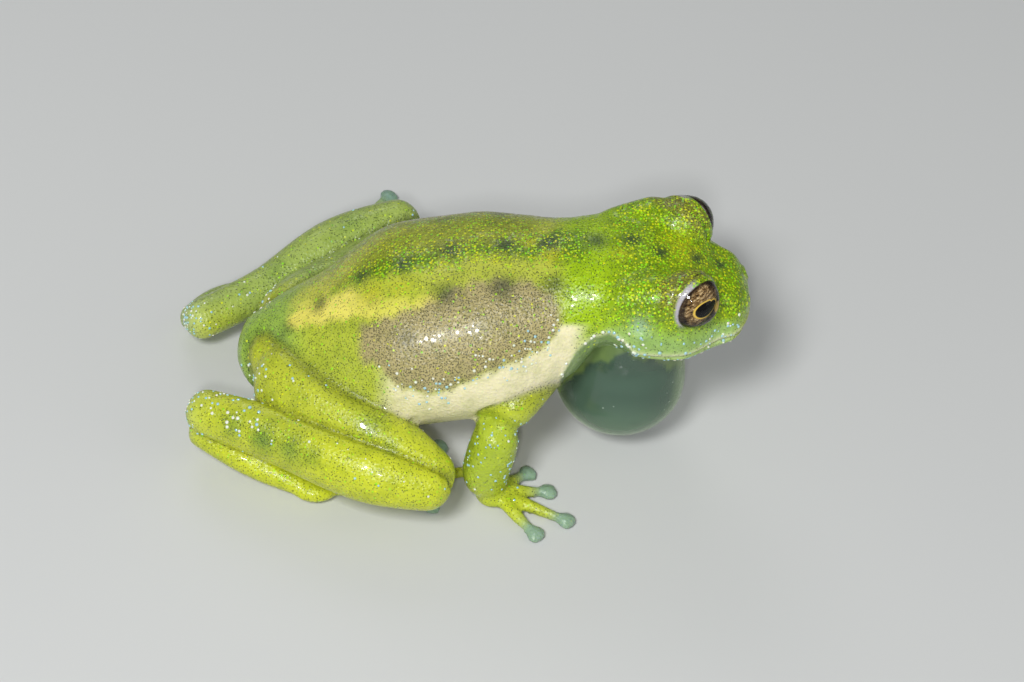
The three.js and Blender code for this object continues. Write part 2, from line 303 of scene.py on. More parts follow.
def loft(sizes: Sequence[tuple], **look: object) -> Loft:
    """A loft from rows of (x, y, z, wide, up, down), with the Loft's own fields by name."""
    return Loft(tuple(Station((x, y, z), wide, up, down) for x, y, z, wide, up, down in sizes), **look)


# The body's named stations, which follow the solids'.
HEAD = loft(
    [
        (4.3, 0, 8.9, 3.4, 2.6, 1.5),
        (5.8, 0, 9.3, 3.4, 2.45, 1.4),
        (7.5, 0, 9.15, 4.0, 2.7, 1.65),
        (9.2, 0, 9.0, 3.85, 2.45, 1.7),
        (10.9, 0, 8.95, 2.75, 1.75, 1.65),
        (12.5, 0, 9.0, 2.0, 1.25, 1.25),
    ],
    start_cap=0.8,
    end_cap=1.0,
    square=2.4,
    sides=96,
    rows=90,
)
TRUNK = loft(
    [
        (-10.5, 0, 2.75, 1.6, 1.3, 1.2),
        (-9.1, 0, 3.35, 2.6, 1.8, 1.9),
        (-6.3, 0, 4.5, 3.6, 2.5, 2.8),
        (-2.8, 0, 5.9, 5.2, 3.85, 4.0),
        (0.6, 0, 6.9, 5.1, 3.95, 4.1),
        (3.4, 0, 8.0, 4.2, 3.45, 3.2),
        (5.4, 0, 9.0, 3.4, 2.8, 1.3),
        (7.0, 0, 9.4, 3.2, 2.1, 1.1),
    ],
    start_cap=1.2,
    end_cap=0.8,
    square=2.15,
    sides=96,
    rows=90,
)
BROW = [
    (5.2, 2.35, 10.4, 0.6, 0.6, 0.6),
    (6.3, 2.4, 10.6, 0.95, 0.95, 0.95),
    (7.2, 2.4, 10.7, 1.2, 1.2, 1.2),
    (8.1, 2.45, 10.75, 1.4, 1.4, 1.4),
    (9.05, 2.45, 10.8, 1.45, 1.45, 1.45),
]


def brow(side: Side) -> Loft:
    """The ridge that runs from the neck up to one eye, and holds its lids."""
    rows = [(*side.place((x, y, z)), *sizes) for x, y, z, *sizes in BROW]
    return loft(rows, start_cap=0.6, end_cap=1.4, sides=40, rows=40)


SAC = loft(
    [
        (7.22, 0, 0.62, 3.05, 3.05, 3.05),
        (7.22, 0, 3.67, 3.05, 3.05, 3.05),
        (7.15, 0, 4.9, 2.92, 2.88, 2.88),
        (7.05, 0, 6.1, 2.68, 2.6, 2.6),
        (6.95, 0, 7.3, 2.8, 2.65, 2.5),
        (6.85, 0, 8.6, 3.0, 3.0, 2.6),
    ],
    start_cap=3.05,
    end_cap=0.3,
    over=(1.0, 0.0, 0.0),
    sides=96,
    rows=80,
)
THROAT = loft(
    [
        (6.9, 0, 6.9, 2.6, 2.45, 2.3),
        (6.9, 0, 7.6, 2.85, 2.7, 2.45),
        (6.85, 0, 8.8, 3.0, 3.0, 2.6),
    ],
    start_cap=0.8,
    end_cap=0.5,
    over=(1.0, 0.0, 0.0),
)


@dataclass(frozen=True)
class Fan:
    """The digits of one hand or foot: where they start, their directions in degrees and their lengths."""

    root: Triple
    turns: tuple[float, ...]
    lengths: tuple[float, ...]
    thick: float
    disc: float

    def point(self, turn: float, distance: float, high: float) -> Triple:
        """A point at a distance from the root in a direction, at a height over the floor."""
        angle = np.radians(turn)
        return (self.root[0] + distance * np.cos(angle), self.root[1] + distance * np.sin(angle), high)

    def digits(self) -> list[Surface]:
        """Each digit: slim, slightly knuckled, with a wide flat disc at its tip.

        Returns:
            One closed surface a digit.
        """
        made = []
        t, d = self.thick, self.disc
        for turn, length in zip(self.turns, self.lengths):
            rows = [
                (*self.point(turn, 0.0, self.root[2]), t * 1.45, t, t),
                (*self.point(turn, length * 0.3, t * 1.7), t * 1.05, t, t),
                (*self.point(turn, length * 0.5, t * 1.45), t * 1.2, t * 1.1, t),
                (*self.point(turn, length * 0.72, t * 1.15), t * 0.95, t * 0.95, t),
                (*self.point(turn, length - d * 0.9, t), t * 0.85, t * 0.9, t * 0.9),
                (*self.point(turn, length - d * 0.25, d * 0.5), d * 0.95, d * 0.52, d * 0.5),
                (*self.point(turn, length + d * 0.35, d * 0.46), d * 0.95, d * 0.48, d * 0.46),
                (*self.point(turn, length + d * 0.85, d * 0.42), d * 0.7, d * 0.34, d * 0.42),
            ]
            made.append(loft(rows, start_cap=0.25, end_cap=0.3, sides=20, rows=50).surface())
        return made

    def web(self, reach: float, hollow: float, thick: float) -> Surface:
        """The web between the digits: a fan from the root out to a scalloped edge, as a thin closed plate.

        Args:
            reach: How far along each digit it reaches, as a share of the digit's length.
            hollow: The same share half-way between two digits.
            thick: Its thickness.

        Returns:
            The closed surface.
        """
        turns, lengths = np.array(self.turns), np.array(self.lengths)
        t = np.linspace(0.0, len(turns) - 1.0, 12 * (len(turns) - 1) + 1)
        scallop = np.abs(np.sin(np.pi * t))
        out = np.interp(t, np.arange(len(turns)), lengths) * (reach - (reach - hollow) * scallop)
        angle = np.radians(np.interp(t, np.arange(len(turns)), turns))
        share = np.linspace(0.0, 1.0, 8)[:, None]
        x = self.root[0] + share * out * np.cos(angle)
        y = self.root[1] + share * out * np.sin(angle)
        z = 0.42 - 0.2 * share + np.zeros_like(out)
        plate = np.stack([x, y, z], -1)
        lift = np.array([0.0, 0.0, thick / 2])
        return closed_tube(np.concatenate([plate + lift, (plate - lift)[:, ::-1]], axis=1))


@dataclass(frozen=True)
class Limbs:
    """The arm and leg of one side."""

    side: Side
    upper_arm: Loft
    forearm: Loft
    hand: Fan
    thigh: Loft
    shank: Loft
    tarsus: Loft
    foot: Fan

    def closeness(self, points: Array) -> dict[str, Array]:
        """How far out of the middle of each long part of these limbs each point lies."""
        words = ("upper_arm", "forearm", "thigh", "shank", "tarsus")
        return {word: getattr(self, word).closeness(points) for word in words}

    def surfaces(self) -> list[Surface]:
        """Every closed surface of these limbs, overlapping where they join.

        Returns:
            The long parts, the digits, the palm and the sole, and the webs.
        """
        parts = (self.upper_arm, self.forearm, self.thigh, self.shank, self.tarsus)
        made = [part.surface() for part in parts]
        made += self.hand.digits() + self.foot.digits()
        made.append(ball(self.hand.root, 0.8, (1.0, 1.0, 0.62)))
        made.append(ball(self.foot.root, 1.0, (1.15, 0.95, 0.5)))
        made.append(self.foot.web(0.52, 0.34, 0.3))
        made.append(self.hand.web(0.3, 0.2, 0.3))
        return made


FINGERS = (2.3, 2.7, 3.7, 3.0)
TOES = (3.8, 5.0, 6.6, 8.8, 5.5)
UPRIGHT = (1.0, 0.0, 0.0)
RIGHT_LIMBS = Limbs(
    side=Side.RIGHT,
    upper_arm=loft(
        [
            (3.8, -2.2, 6.6, 1.2, 1.3, 1.2),
            (2.7, -3.7, 6.0, 1.05, 1.15, 1.1),
            (1.35, -4.9, 4.85, 1.0, 1.0, 1.0),
        ],
        end_cap=0.9,
    ),
    forearm=loft(
        [
            (1.45, -5.0, 4.8, 1.0, 1.0, 1.0),
            (1.2, -5.15, 3.1, 1.12, 1.15, 1.1),
            (1.1, -5.2, 1.7, 1.0, 1.1, 1.1),
            (1.3, -5.25, 0.6, 0.75, 0.8, 0.75),
        ],
        end_cap=0.4,
        over=UPRIGHT,
    ),
    hand=Fan((1.5, -5.3, 0.45), (42, 10, -20, -48), FINGERS, 0.27, 0.5),
    thigh=loft(
        [
            (-8.8, -0.9, 3.6, 1.85, 1.85, 1.8),
            (-7.5, -2.7, 3.9, 2.0, 1.9, 1.9),
            (-4.6, -4.95, 3.95, 1.7, 1.65, 1.6),
            (-0.6, -7.45, 2.95, 0.95, 1.0, 1.0),
        ],
        start_cap=1.4,
        end_cap=1.0,
    ),
    shank=loft(
        [
            (-0.6, -7.7, 2.95, 1.0, 1.05, 1.0),
            (-4.6, -6.9, 3.2, 1.45, 1.5, 1.45),
            (-8.8, -4.9, 3.0, 1.2, 1.4, 1.35),
            (-12.7, -3.1, 2.55, 1.0, 1.05, 1.0),
        ],
        start_cap=1.0,
        end_cap=0.9,
    ),
    tarsus=loft(
        [
            (-12.5, -3.4, 1.85, 0.85, 0.8, 0.8),
            (-9.6, -4.7, 0.9, 0.75, 0.65, 0.7),
            (-7.1, -5.45, 0.55, 0.85, 0.55, 0.55),
        ],
        start_cap=0.7,
        end_cap=0.3,
    ),
    foot=Fan((-6.7, -5.6, 0.5), (62, 46, 28.5, 13, -6), TOES, 0.28, 0.5),
)
LEFT_LIMBS = Limbs(
    side=Side.LEFT,
    upper_arm=loft(
        [
            (4.2, 2.2, 6.4, 1.2, 1.3, 1.3),
            (3.3, 3.8, 5.7, 1.05, 1.15, 1.15),
            (2.0, 5.1, 4.45, 0.92, 0.95, 0.95),
        ],
        end_cap=0.9,
    ),
    forearm=loft(
        [
            (2.05, 5.15, 4.55, 0.9, 0.9, 0.9),
            (2.2, 5.35, 3.0, 1.05, 1.0, 1.0),
            (2.4, 5.5, 1.6, 0.95, 1.05, 1.05),
            (2.6, 5.55, 0.6, 0.75, 0.8, 0.75),
        ],
        end_cap=0.4,
        over=UPRIGHT,
    ),
    hand=Fan((2.9, 5.6, 0.45), (-36, -6, 24, 54), FINGERS, 0.27, 0.5),
    thigh=loft(
        [
            (-8.7, 0.9, 3.3, 1.8, 1.75, 1.7),
            (-7.6, 2.9, 3.2, 1.85, 1.75, 1.7),
            (-5.2, 5.4, 3.25, 1.6, 1.5, 1.45),
            (-2.2, 8.6, 3.5, 1.2, 1.2, 1.15),
        ],
        start_cap=1.4,
        end_cap=1.0,
    ),
    shank=loft(
        [
            (-2.2, 9.3, 3.7, 1.2, 1.25, 1.2),
            (-6.0, 7.75, 3.0, 1.4, 1.45, 1.45),
            (-9.7, 5.1, 2.2, 1.0, 1.0, 1.0),
            (-13.1, 2.9, 1.65, 0.95, 0.95, 0.95),
        ],
        start_cap=1.0,
        end_cap=0.9,
    ),
    tarsus=loft(
        [
            (-13.0, 3.5, 1.2, 0.8, 0.7, 0.7),
            (-11.5, 5.8, 0.72, 0.75, 0.6, 0.65),
            (-8.9, 6.9, 0.55, 0.85, 0.5, 0.55),
        ],
        start_cap=0.7,
        end_cap=0.3,
    ),
    foot=Fan((-8.2, 7.0, 0.5), (0, 20, 40, 57.6, 66.5), TOES, 0.28, 0.5),
)


def new_object(name: str, surface: Surface) -> bpy.types.Object:
    """An object in the scene from a surface, still in millimetres.

    Args:
        name: The object's and its mesh's name.
        surface: Its points and quads. A quad with a doubled point becomes a triangle.

    Returns:
        The object.
    """
    faces = [tuple(dict.fromkeys(face)) for face in surface.faces.tolist()]
    mesh = bpy.data.meshes.new(name)
    mesh.from_pydata(surface.points.tolist(), [], faces)
    mesh.validate()
    made = bpy.data.objects.new(name, mesh)
    bpy.context.scene.collection.objects.link(made)
    return made


def applied(made: bpy.types.Object) -> None:
    """Gives the object the mesh that its modifiers make, and takes them off.

    Args:
        made: The object.
    """
    graph = bpy.context.evaluated_depsgraph_get()
    graph.update()
    mesh = bpy.data.meshes.new_from_object(made.evaluated_get(graph))
    made.modifiers.clear()
    made.data = mesh


def rows_of(source: bpy.types.bpy_prop_collection, what: str, width: int, kind: type) -> Array:
    """What a collection of Blender's holds, as one row an item."""
    found = np.empty(len(source) * width, kind)
    source.foreach_get(what, found)
    return found.reshape(-1, width)


def points_of(mesh: bpy.types.Mesh) -> Array:
    """The mesh's points, one row each."""
    return rows_of(mesh.vertices, "co", 3, np.float32).astype(float)


def normals_of(mesh: bpy.types.Mesh) -> Array:
    """The outward direction at each of the mesh's points."""
    return rows_of(mesh.vertex_normals, "vector", 3, np.float32).astype(float)


def edges_of(mesh: bpy.types.Mesh) -> Array:
    """The mesh's edges as pairs of points."""
    return rows_of(mesh.edges, "vertices", 2, np.int32)


def set_points(mesh: bpy.types.Mesh, points: Array) -> None:
    """Moves the mesh's points."""
    mesh.vertices.foreach_set("co", points.astype(np.float32).ravel())
    mesh.update()


def relax(mesh: bpy.types.Mesh, weight: Array, rounds: int, keep: float = 0.0) -> None:
    """Draws each point towards the mean of its neighbours, and with keep pushes it partly back again.

    Args:
        mesh: The mesh to smooth.
        weight: How far each point moves, as a share of the way to that mean.
        rounds: How many times it is done.
        keep: With this, every second round pushes outwards by this share, so that volume is kept.
    """
    points, edges = points_of(mesh), edges_of(mesh)
    a, b = edges[:, 0], edges[:, 1]
    count = np.bincount(edges.ravel(), minlength=len(points))[:, None]
    for step in range(rounds):
        sums = [
            np.bincount(a, points[b, k], len(points)) + np.bincount(b, points[a, k], len(points))
            for k in range(3)
        ]
        pull = -keep if keep and step % 2 else 1.0
        points += pull * weight[:, None] * (np.stack(sums, 1) / count - points)
    set_points(mesh, points)


def refine(mesh: bpy.types.Mesh, inside: Callable[[Array], Array]) -> None:
    """Splits each edge in two whose ends both lie in a region, and fills the faces in.

    Args:
        mesh: The mesh to refine.
        inside: Says of each row of points whether it lies in the region.
    """
    chosen = inside(points_of(mesh))
    shape = bmesh.new()
    shape.from_mesh(mesh)
    shape.verts.ensure_lookup_table()
    edges = [e for e in shape.edges if chosen[e.verts[0].index] and chosen[e.verts[1].index]]
    bmesh.ops.subdivide_edges(shape, edges=edges, cuts=1, use_grid_fill=True)
    bmesh.ops.triangulate(shape, faces=[f for f in shape.faces if len(f.verts) > 4])
    shape.to_mesh(mesh)
    shape.free()
    mesh.update()


class Stored(Enum):
    """What a mesh can store at each point: the attribute's type, and the field that holds its value."""

    NUMBER = ("FLOAT", "value")
    VECTOR = ("FLOAT_VECTOR", "vector")
    COLOUR = ("FLOAT_COLOR", "color")


def store(mesh: bpy.types.Mesh, name: str, values: Array, kind: Stored = Stored.NUMBER) -> None:
    """Stores one value a point under a name that a material can read.

    Args:
        mesh: The mesh.
        name: The attribute's name.
        values: One number, or one row of three, for each point. Colours are linear, without alpha.
        kind: What the values are.
    """
    if kind is Stored.COLOUR:
        values = np.hstack([np.clip(values, 0.0, 1.0), np.ones((len(values), 1))])
    made = mesh.attributes.new(name, kind.value[0], "POINT")
    made.data.foreach_set(kind.value[1], values.astype(np.float32).ravel())


def settle(made: bpy.types.Object, shift: Array, material: bpy.types.Material) -> None:
    """Moves a finished piece to the row frame in metres, shades it smooth, dresses it and lets it ride.

    Args:
        made: The piece, in millimetres in the frog's frame.
        shift: The row frame's place of the frog's origin, in millimetres.
        material: What the piece is made of.
    """
    mesh = made.data
    set_points(mesh, (points_of(mesh) + shift) * MM)
    mesh.shade_smooth()
    mesh.materials.clear()
    mesh.materials.append(material)
    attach(made, "root")
    LOG.info("%s: %d points, %d faces", made.name, len(mesh.vertices), len(mesh.polygons))


@dataclass(frozen=True)
class Signal:
    """A node's output, with arithmetic that adds Math nodes."""

    graph: "Graph"
    socket: bpy.types.NodeSocket

    def __add__(self, other: "Signal | float") -> "Signal":
        """The sum."""
        return self.graph.maths("ADD", self, other)

    def __sub__(self, other: "Signal | float") -> "Signal":
        """The difference."""
        return self.graph.maths("SUBTRACT", self, other)

    def __mul__(self, other: "Signal | float") -> "Signal":
        """The product."""
        return self.graph.maths("MULTIPLY", self, other)

    def __truediv__(self, other: "Signal | float") -> "Signal":
        """The quotient."""
        return self.graph.maths("DIVIDE", self, other)

    def __rsub__(self, other: float) -> "Signal":
        """The difference from a number."""
        return self.graph.maths("SUBTRACT", other, self)

    __radd__ = __add__
    __rmul__ = __mul__

    def step(self, low: float, high: float) -> "Signal":
        """A smooth step from zero at low to one at high."""
        inputs = {"Value": self, "From Min": low, "From Max": high, "To Min": 0.0, "To Max": 1.0}
        return self.graph.node("ShaderNodeMapRange", {"interpolation_type": "SMOOTHSTEP"}, inputs)


class Graph:
    """The nodes of one material."""

    def __init__(self, name: str) -> None:
        """Starts an empty material.

        Args:
            name: The material's name.
        """
        self.material = bpy.data.materials.new(name)
        self.material.use_nodes = True
        self.nodes = self.material.node_tree.nodes
        self.links = self.material.node_tree.links
        self.nodes.clear()

    def node(
        self,
        kind: str,
        settings: Mapping[str, object] | None = None,
        inputs: Mapping[str | int, object] | None = None,
        output: str | int = 0,
    ) -> Signal:
        """Adds one node.

        Args:
            kind: The node's type.
            settings: Its own options, set first. "stops" are a colour ramp's places and colours.
            inputs: What its sockets hold: a signal to link, a plain value, or a colour of three numbers.
            output: Which of its outputs is wanted.

        Returns:
            That output.
        """
        made = self.nodes.new(kind)
        for key, value in (settings or {}).items():
            if key == "stops":
                self._set_stops(made, value)
            else:
                setattr(made, key, value)
        for key, value in (inputs or {}).items():
            socket = made.inputs[key]
            if isinstance(value, Signal):
                self.links.new(value.socket, socket)
            elif socket.type == "RGBA":
                socket.default_value = (*value, 1.0)
            else:
                socket.default_value = value
        return Signal(self, made.outputs[output])

    @staticmethod
    def _set_stops(made: bpy.types.Node, stops: Sequence[tuple[float, Triple]]) -> None:
        """Sets a colour ramp's stops.

        Args:
            made: The colour ramp's node.
            stops: Each stop's place and colour.
        """
        band = made.color_ramp
        while len(band.elements) < len(stops):
            band.elements.new(0.5)
        for element, (place, colour) in zip(band.elements, stops):
            element.position = place
            element.color = (*colour, 1.0)

    def maths(self, operation: str, first: Signal | float, second: Signal | float = 0.0) -> Signal:
        """One Math node."""
        return self.node("ShaderNodeMath", {"operation": operation}, {0: first, 1: second})

    def length(self, first: Signal, second: Signal) -> Signal:
        """The length of the line whose two offsets these are: the root of the sum of their squares."""
        return self.maths("POWER", first * first + second * second, 0.5)

    def mix(self, share: Signal | float, first: object, second: object, how: str = "MIX") -> Signal:
        """First turned into second, two colours, by the share, or blended with it another way."""
        settings = {"data_type": "RGBA", "blend_type": how}
        return self.node("ShaderNodeMix", settings, {0: share, 6: first, 7: second}, 2)

    def stored(self, name: str, output: str = "Fac") -> Signal:
        """What the mesh stores under a name."""
        return self.node("ShaderNodeAttribute", {"attribute_name": name}, {}, output)

    def scaled(self, place: Signal, scale: Triple) -> Signal:
        """A place stretched along its axes."""
        return self.node("ShaderNodeMapping", {}, {"Vector": place, "Scale": scale})

    def millimetres(self) -> Signal:
        """The place on the object in millimetres."""
        return self.scaled(self.node("ShaderNodeTexCoord", output="Object"), (1.0 / MM,) * 3)

    def noise(self, place: Signal, scale: float, detail: float = 2.0, rough: float = 0.5) -> Signal:
        """Smooth noise between zero and one."""
        inputs = {"Vector": place, "Scale": scale, "Detail": detail, "Roughness": rough}
        return self.node("ShaderNodeTexNoise", {}, inputs)

    def cells(self, place: Signal, scale: float, output: str = "Distance", feature: str = "F1") -> Signal:
        """Voronoi cells: the distance to the nearest centre, or each cell's own colour."""
        inputs = {"Vector": place, "Scale": scale}
        return self.node("ShaderNodeTexVoronoi", {"feature": feature}, inputs, output)

    def channel(self, colour: Signal, name: str) -> Signal:
        """One channel of a colour. Of a cell's own colour it is a number that the cell draws."""
        return self.node("ShaderNodeSeparateColor", {}, {"Color": colour}, name)

    def bump(self, height: Signal, distance: float, strength: float = 1.0) -> Signal:
        """A bumped normal, the height's full span standing for a distance in metres."""
        inputs = {"Height": height, "Distance": distance, "Strength": strength}
        return self.node("ShaderNodeBump", {}, inputs)

    def finish(self, shader: Signal) -> bpy.types.Material:
        """Links the last shader to the material's output."""
        self.links.new(shader.socket, self.nodes.new("ShaderNodeOutputMaterial").inputs["Surface"])
        return self.material

    def principled(self, inputs: Mapping[str, object]) -> bpy.types.Material:
        """Ends the material with a Principled shader that holds these inputs."""
        return self.finish(self.node("ShaderNodeBsdfPrincipled", {}, inputs, "BSDF"))


@dataclass(frozen=True)
class SkinFinish:
    """Moist frog skin: tints from the mesh, fine dark and bright dots, tiny granules and a wet coat.

    A dot stands at the middle of a Voronoi cell, where the cell's own chance lies under the density that
    the mesh stores. The wet coat gathers in beads, so that the glints stay small.
    """

    dark: Triple = (0.016, 0.026, 0.014)
    yellow: Triple = (0.92, 0.88, 0.01)
    green: Triple = (0.26, 0.88, 0.005)
    shade: Triple = (0.62, 0.68, 0.5)
    dark_scale: float = 14.0
    dark_edge: tuple[float, float] = (0.36, 0.54)
    bright_scale: float = 8.0
    bright_edge: tuple[float, float] = (0.36, 0.52)
    chance_edge: tuple[float, float] = (-0.04, 0.08)
    grain_scale: float = 7.5
    grain_height: float = 0.000028
    bead_scale: float = 4.6

    def material(self) -> bpy.types.Material:
        """Builds the material.

        Returns:
            The finished material.
        """
        g = Graph("frog_skin")
        place = g.millimetres()
        tint = g.stored("tint", "Color")
        fleck = g.cells(place, self.bright_scale)
        drawn = g.cells(place, self.bright_scale, "Color")
        chance = (g.stored("bright") - g.channel(drawn, "Red")).step(*self.chance_edge)
        bright = (1.0 - fleck.step(*self.bright_edge)) * chance
        hue = g.channel(drawn, "Blue")
        point = g.cells(place, self.dark_scale)
        drawn = g.cells(place, self.dark_scale, "Color")
        chance = (g.stored("dark") - g.channel(drawn, "Green")).step(*self.chance_edge)
        depth = g.channel(drawn, "Red") * 0.5 + 0.5
        dark = (1.0 - point.step(*self.dark_edge)) * chance * depth
        mottle = g.noise(place, 1.1, 4.0, 0.6)
        colour = g.mix(mottle.step(0.4, 0.72) * 0.55, tint, g.mix(1.0, tint, self.shade, "MULTIPLY"))
        speck = g.mix(0.1, g.mix(hue, self.yellow, self.green), tint)
        colour = g.mix(bright * 0.85, colour, speck)
        colour = g.mix(dark * 0.9, colour, self.dark)
        grain = g.cells(place, self.grain_scale, feature="SMOOTH_F1")
        fine = g.noise(place, 22.0, 3.0)
        height = (1.0 - grain.step(0.0, 0.7)) * 0.8 + fine * 0.35 + bright * 0.25
        beads = 1.0 - g.cells(place, self.bead_scale).step(0.30, 0.46)
        wet = g.noise(place, 1.7).step(0.38, 0.55)
        return g.principled({
            "Base Color": colour,
            "Roughness": g.noise(place, 5.0).step(0.2, 0.8) * 0.12 + 0.26,
            "Normal": g.bump(height, self.grain_height),
            "Coat Weight": beads * wet * 0.75 + 0.06,
            "Coat Roughness": 0.09,
            "Subsurface Weight": 0.2,
            "Subsurface Radius": (0.9, 1.0, 0.25),
            "Subsurface Scale": 0.0006,
            "IOR": 1.42,
        })


@dataclass(frozen=True)
class MembraneFinish:
    """The stretched sac: a dim see-through film, paler at its edge and foot, with a few pale flecks. Its dim
    teal is partly the film's own tint and partly painted shade of the shadow behind it, and its pale edge is
    a painted rim sheen.
    """

    # Partly the film's own grey-teal tint and partly painted shade: the dark shadow behind the sac, painted
    # into the nearly opaque film.
    film: Triple = (0.072, 0.13, 0.092)
    low: Triple = (0.15, 0.25, 0.16)
    # A painted rim sheen: the paler rim that a clear film shows where it is seen at a grazing angle.
    edge: Triple = (0.27, 0.42, 0.17)
    cloud: Triple = (0.09, 0.15, 0.11)
    fleck: Triple = (0.45, 0.55, 0.45)
    throat: Triple = (0.30, 0.44, 0.10)
    sheen: Triple = (0.55, 0.75, 0.4)
    fleck_scale: float = 1.9

    def material(self) -> bpy.types.Material:
        """Builds the material.

        Returns:
            The finished material.
        """
        g = Graph("sac_membrane")
        place = g.millimetres()
        collar = g.stored("collar")
        chance = g.channel(g.cells(place, self.fleck_scale, "Color"), "Red")
        fleck = (1.0 - g.cells(place, self.fleck_scale).step(0.06, 0.11)) * chance.step(0.35, 0.4)
        cloud = g.noise(place, 0.55, 3.0)
        # Starts from the film's dim teal, which is partly painted shade of the shadow behind the sac, and
        # turns paler towards the foot.
        colour = g.mix(g.stored("low"), self.film, self.low)
        # Painted rim sheen along the sac's edge as seen from the camera.
        colour = g.mix(g.stored("ring") * 0.75, colour, self.edge)
        colour = g.mix(cloud.step(0.45, 0.75) * 0.4, colour, self.cloud)
        colour = g.mix(fleck * 0.6, colour, self.fleck)
        colour = g.mix(collar, colour, self.throat)
        facing = g.node("ShaderNodeLayerWeight", {}, {"Blend": 0.5}, "Facing")
        return g.principled({
            "Base Color": colour,
            "Roughness": 0.12,
            "Alpha": 0.93 - facing * 0.3 + collar * 0.05,
            "Normal": g.bump(g.noise(place, 2.2, 3.0), 0.00003, 0.5),
            "IOR": 1.36,
            "Coat Weight": 0.3,
            "Coat Roughness": 0.05,
            "Sheen Weight": 0.35,
            "Sheen Roughness": 0.35,
            "Sheen Tint": self.sheen,
        })


@dataclass(frozen=True)
class IrisFinish:
    """The eye behind the cornea: a level black pupil in a gold ring, on a bronze net of dark veins.

    The pupil is an oval round a middle that lies forward and low, with a notch in its upper edge. Its
    tilt turns the mesh's level and upright places by the angle with these cosine and sine.
    """

    gold: Triple = (0.88, 0.60, 0.10)
    black: Triple = (0.002, 0.002, 0.002)
    vein: Triple = (0.02, 0.012, 0.012)
    rim: Triple = (0.015, 0.01, 0.01)
    bronze: tuple[tuple[float, Triple], ...] = (
        (0.36, (0.03, 0.016, 0.01)),
        (0.5, (0.34, 0.20, 0.07)),
        (0.66, (0.95, 0.72, 0.38)),
    )
    tilt_cosine: float = 0.93
    tilt_sine: float = 0.37
    pupil_at: tuple[float, float] = (0.28, -0.16)
    pupil_size: tuple[float, float] = (0.76, 0.43)

    def material(self) -> bpy.types.Material:
        """Builds the material.

        Returns:
            The finished material.
        """
        g = Graph("frog_iris")
        place = g.stored("eye_place", "Vector")
        x, y = (g.node("ShaderNodeSeparateXYZ", {}, {"Vector": place}, axis) for axis in "XY")
        level = x * self.tilt_cosine - y * self.tilt_sine
        raised = y * self.tilt_cosine + x * self.tilt_sine
        wide = (level - self.pupil_at[0]) / self.pupil_size[0]
        high = (raised - self.pupil_at[1]) / self.pupil_size[1]
        notch = (1.0 - g.maths("ABSOLUTE", level - 0.45).step(0.0, 0.16)) * 0.14
        oval = g.length(wide, high) + notch * raised.step(-0.2, 0.1)
        stretched = g.scaled(place, (1.0, 2.4, 1.0))
        veins = g.noise(stretched, 3.6, 4.0, 0.65)
        net = g.cells(stretched, 6.5, feature="DISTANCE_TO_EDGE")
        bronze = g.node("ShaderNodeValToRGB", {"stops": self.bronze}, {"Fac": veins}, "Color")
        colour = g.mix((1.0 - net.step(0.02, 0.12)) * 0.75, bronze, self.vein)
        colour = g.mix(g.length(x, y).step(0.92, 1.06) * 0.85, colour, self.rim)
        outside = oval.step(0.97, 1.03)
        colour = g.mix((1.0 - oval.step(1.12, 1.2)) * outside, colour, self.gold)
        colour = g.mix(1.0 - outside, colour, self.black)
        return g.principled({
            "Base Color": colour,
            "Roughness": 0.5,
            "Specular IOR Level": 0.05,
            "Normal": g.bump(veins, 0.00003, 0.5),
        })


@dataclass(frozen=True)
class CorneaFinish:
    """A clear wet film: it lets light straight through, and mirrors it by Fresnel."""

    clear: Triple = (1.0, 1.0, 1.0)
    roughness: float = 0.03
    refraction: float = 1.28

    def material(self) -> bpy.types.Material:
        """Builds the material.

        Returns:
            The finished material.
        """
        g = Graph("cornea")
        through = g.node("ShaderNodeBsdfTransparent", {}, {"Color": self.clear})
        gloss = g.node("ShaderNodeBsdfGlossy", {}, {"Color": self.clear, "Roughness": self.roughness})
        share = g.node("ShaderNodeFresnel", {}, {"IOR": self.refraction})
        return g.finish(g.node("ShaderNodeMixShader", {}, {0: share, 1: through, 2: gloss}))


@dataclass(frozen=True)
class TubercleFinish:
    """The small pale warts of the flanks, lips, arms and heels, tinted by the mesh."""

    def material(self) -> bpy.types.Material:
        """Builds the material.

        Returns:
            The finished material.
        """
        g = Graph("tubercles")
        return g.principled({
            "Base Color": g.stored("tint", "Color"),
            "Roughness": g.noise(g.millimetres(), 8.0) * 0.2 + 0.2,
            "Subsurface Weight": 0.2,
            "Subsurface Scale": 0.0002,
            "Coat Weight": 0.5,
            "Coat Roughness": 0.08,
        })


@dataclass(frozen=True)
class EyeFrame:
    """Where one eye sits and looks: its centre, gaze, and the level and upright axes across the gaze."""

    side: Side

    @property
    def centre(self) -> Array:
        """The eyeball's centre."""
        return np.array(self.side.place(EYE_CENTRE))

    @property
    def axes(self) -> tuple[Array, Array, Array]:
        """The eye's three directions.

        Returns:
            Unit vectors along the gaze, level forward across it, and up across it.
        """
        gaze = unit(self.side.place(GAZE))
        level = unit(self.side.place(EYE_LEVEL))
        level = unit(level - gaze * (level @ gaze))
        return gaze, level, np.cross(gaze, level) * self.side.value * -1.0

    def polar(self, points: Array) -> tuple[Array, Array, Array]:
        """How points lie round the eye.

        Args:
            points: The points.

        Returns:
            Each point's distance from the centre, its angle from the gaze, and its angle round the gaze
            from level, both in degrees.
        """
        gaze, level, up = self.axes
        away = points - self.centre
        distance = np.linalg.norm(away, axis=1)
        toward = away / np.maximum(distance, 1e-9)[:, None]
        angle = np.degrees(np.arccos(np.clip(toward @ gaze, -1.0, 1.0)))
        return distance, angle, np.degrees(np.arctan2(toward @ up, toward @ level))


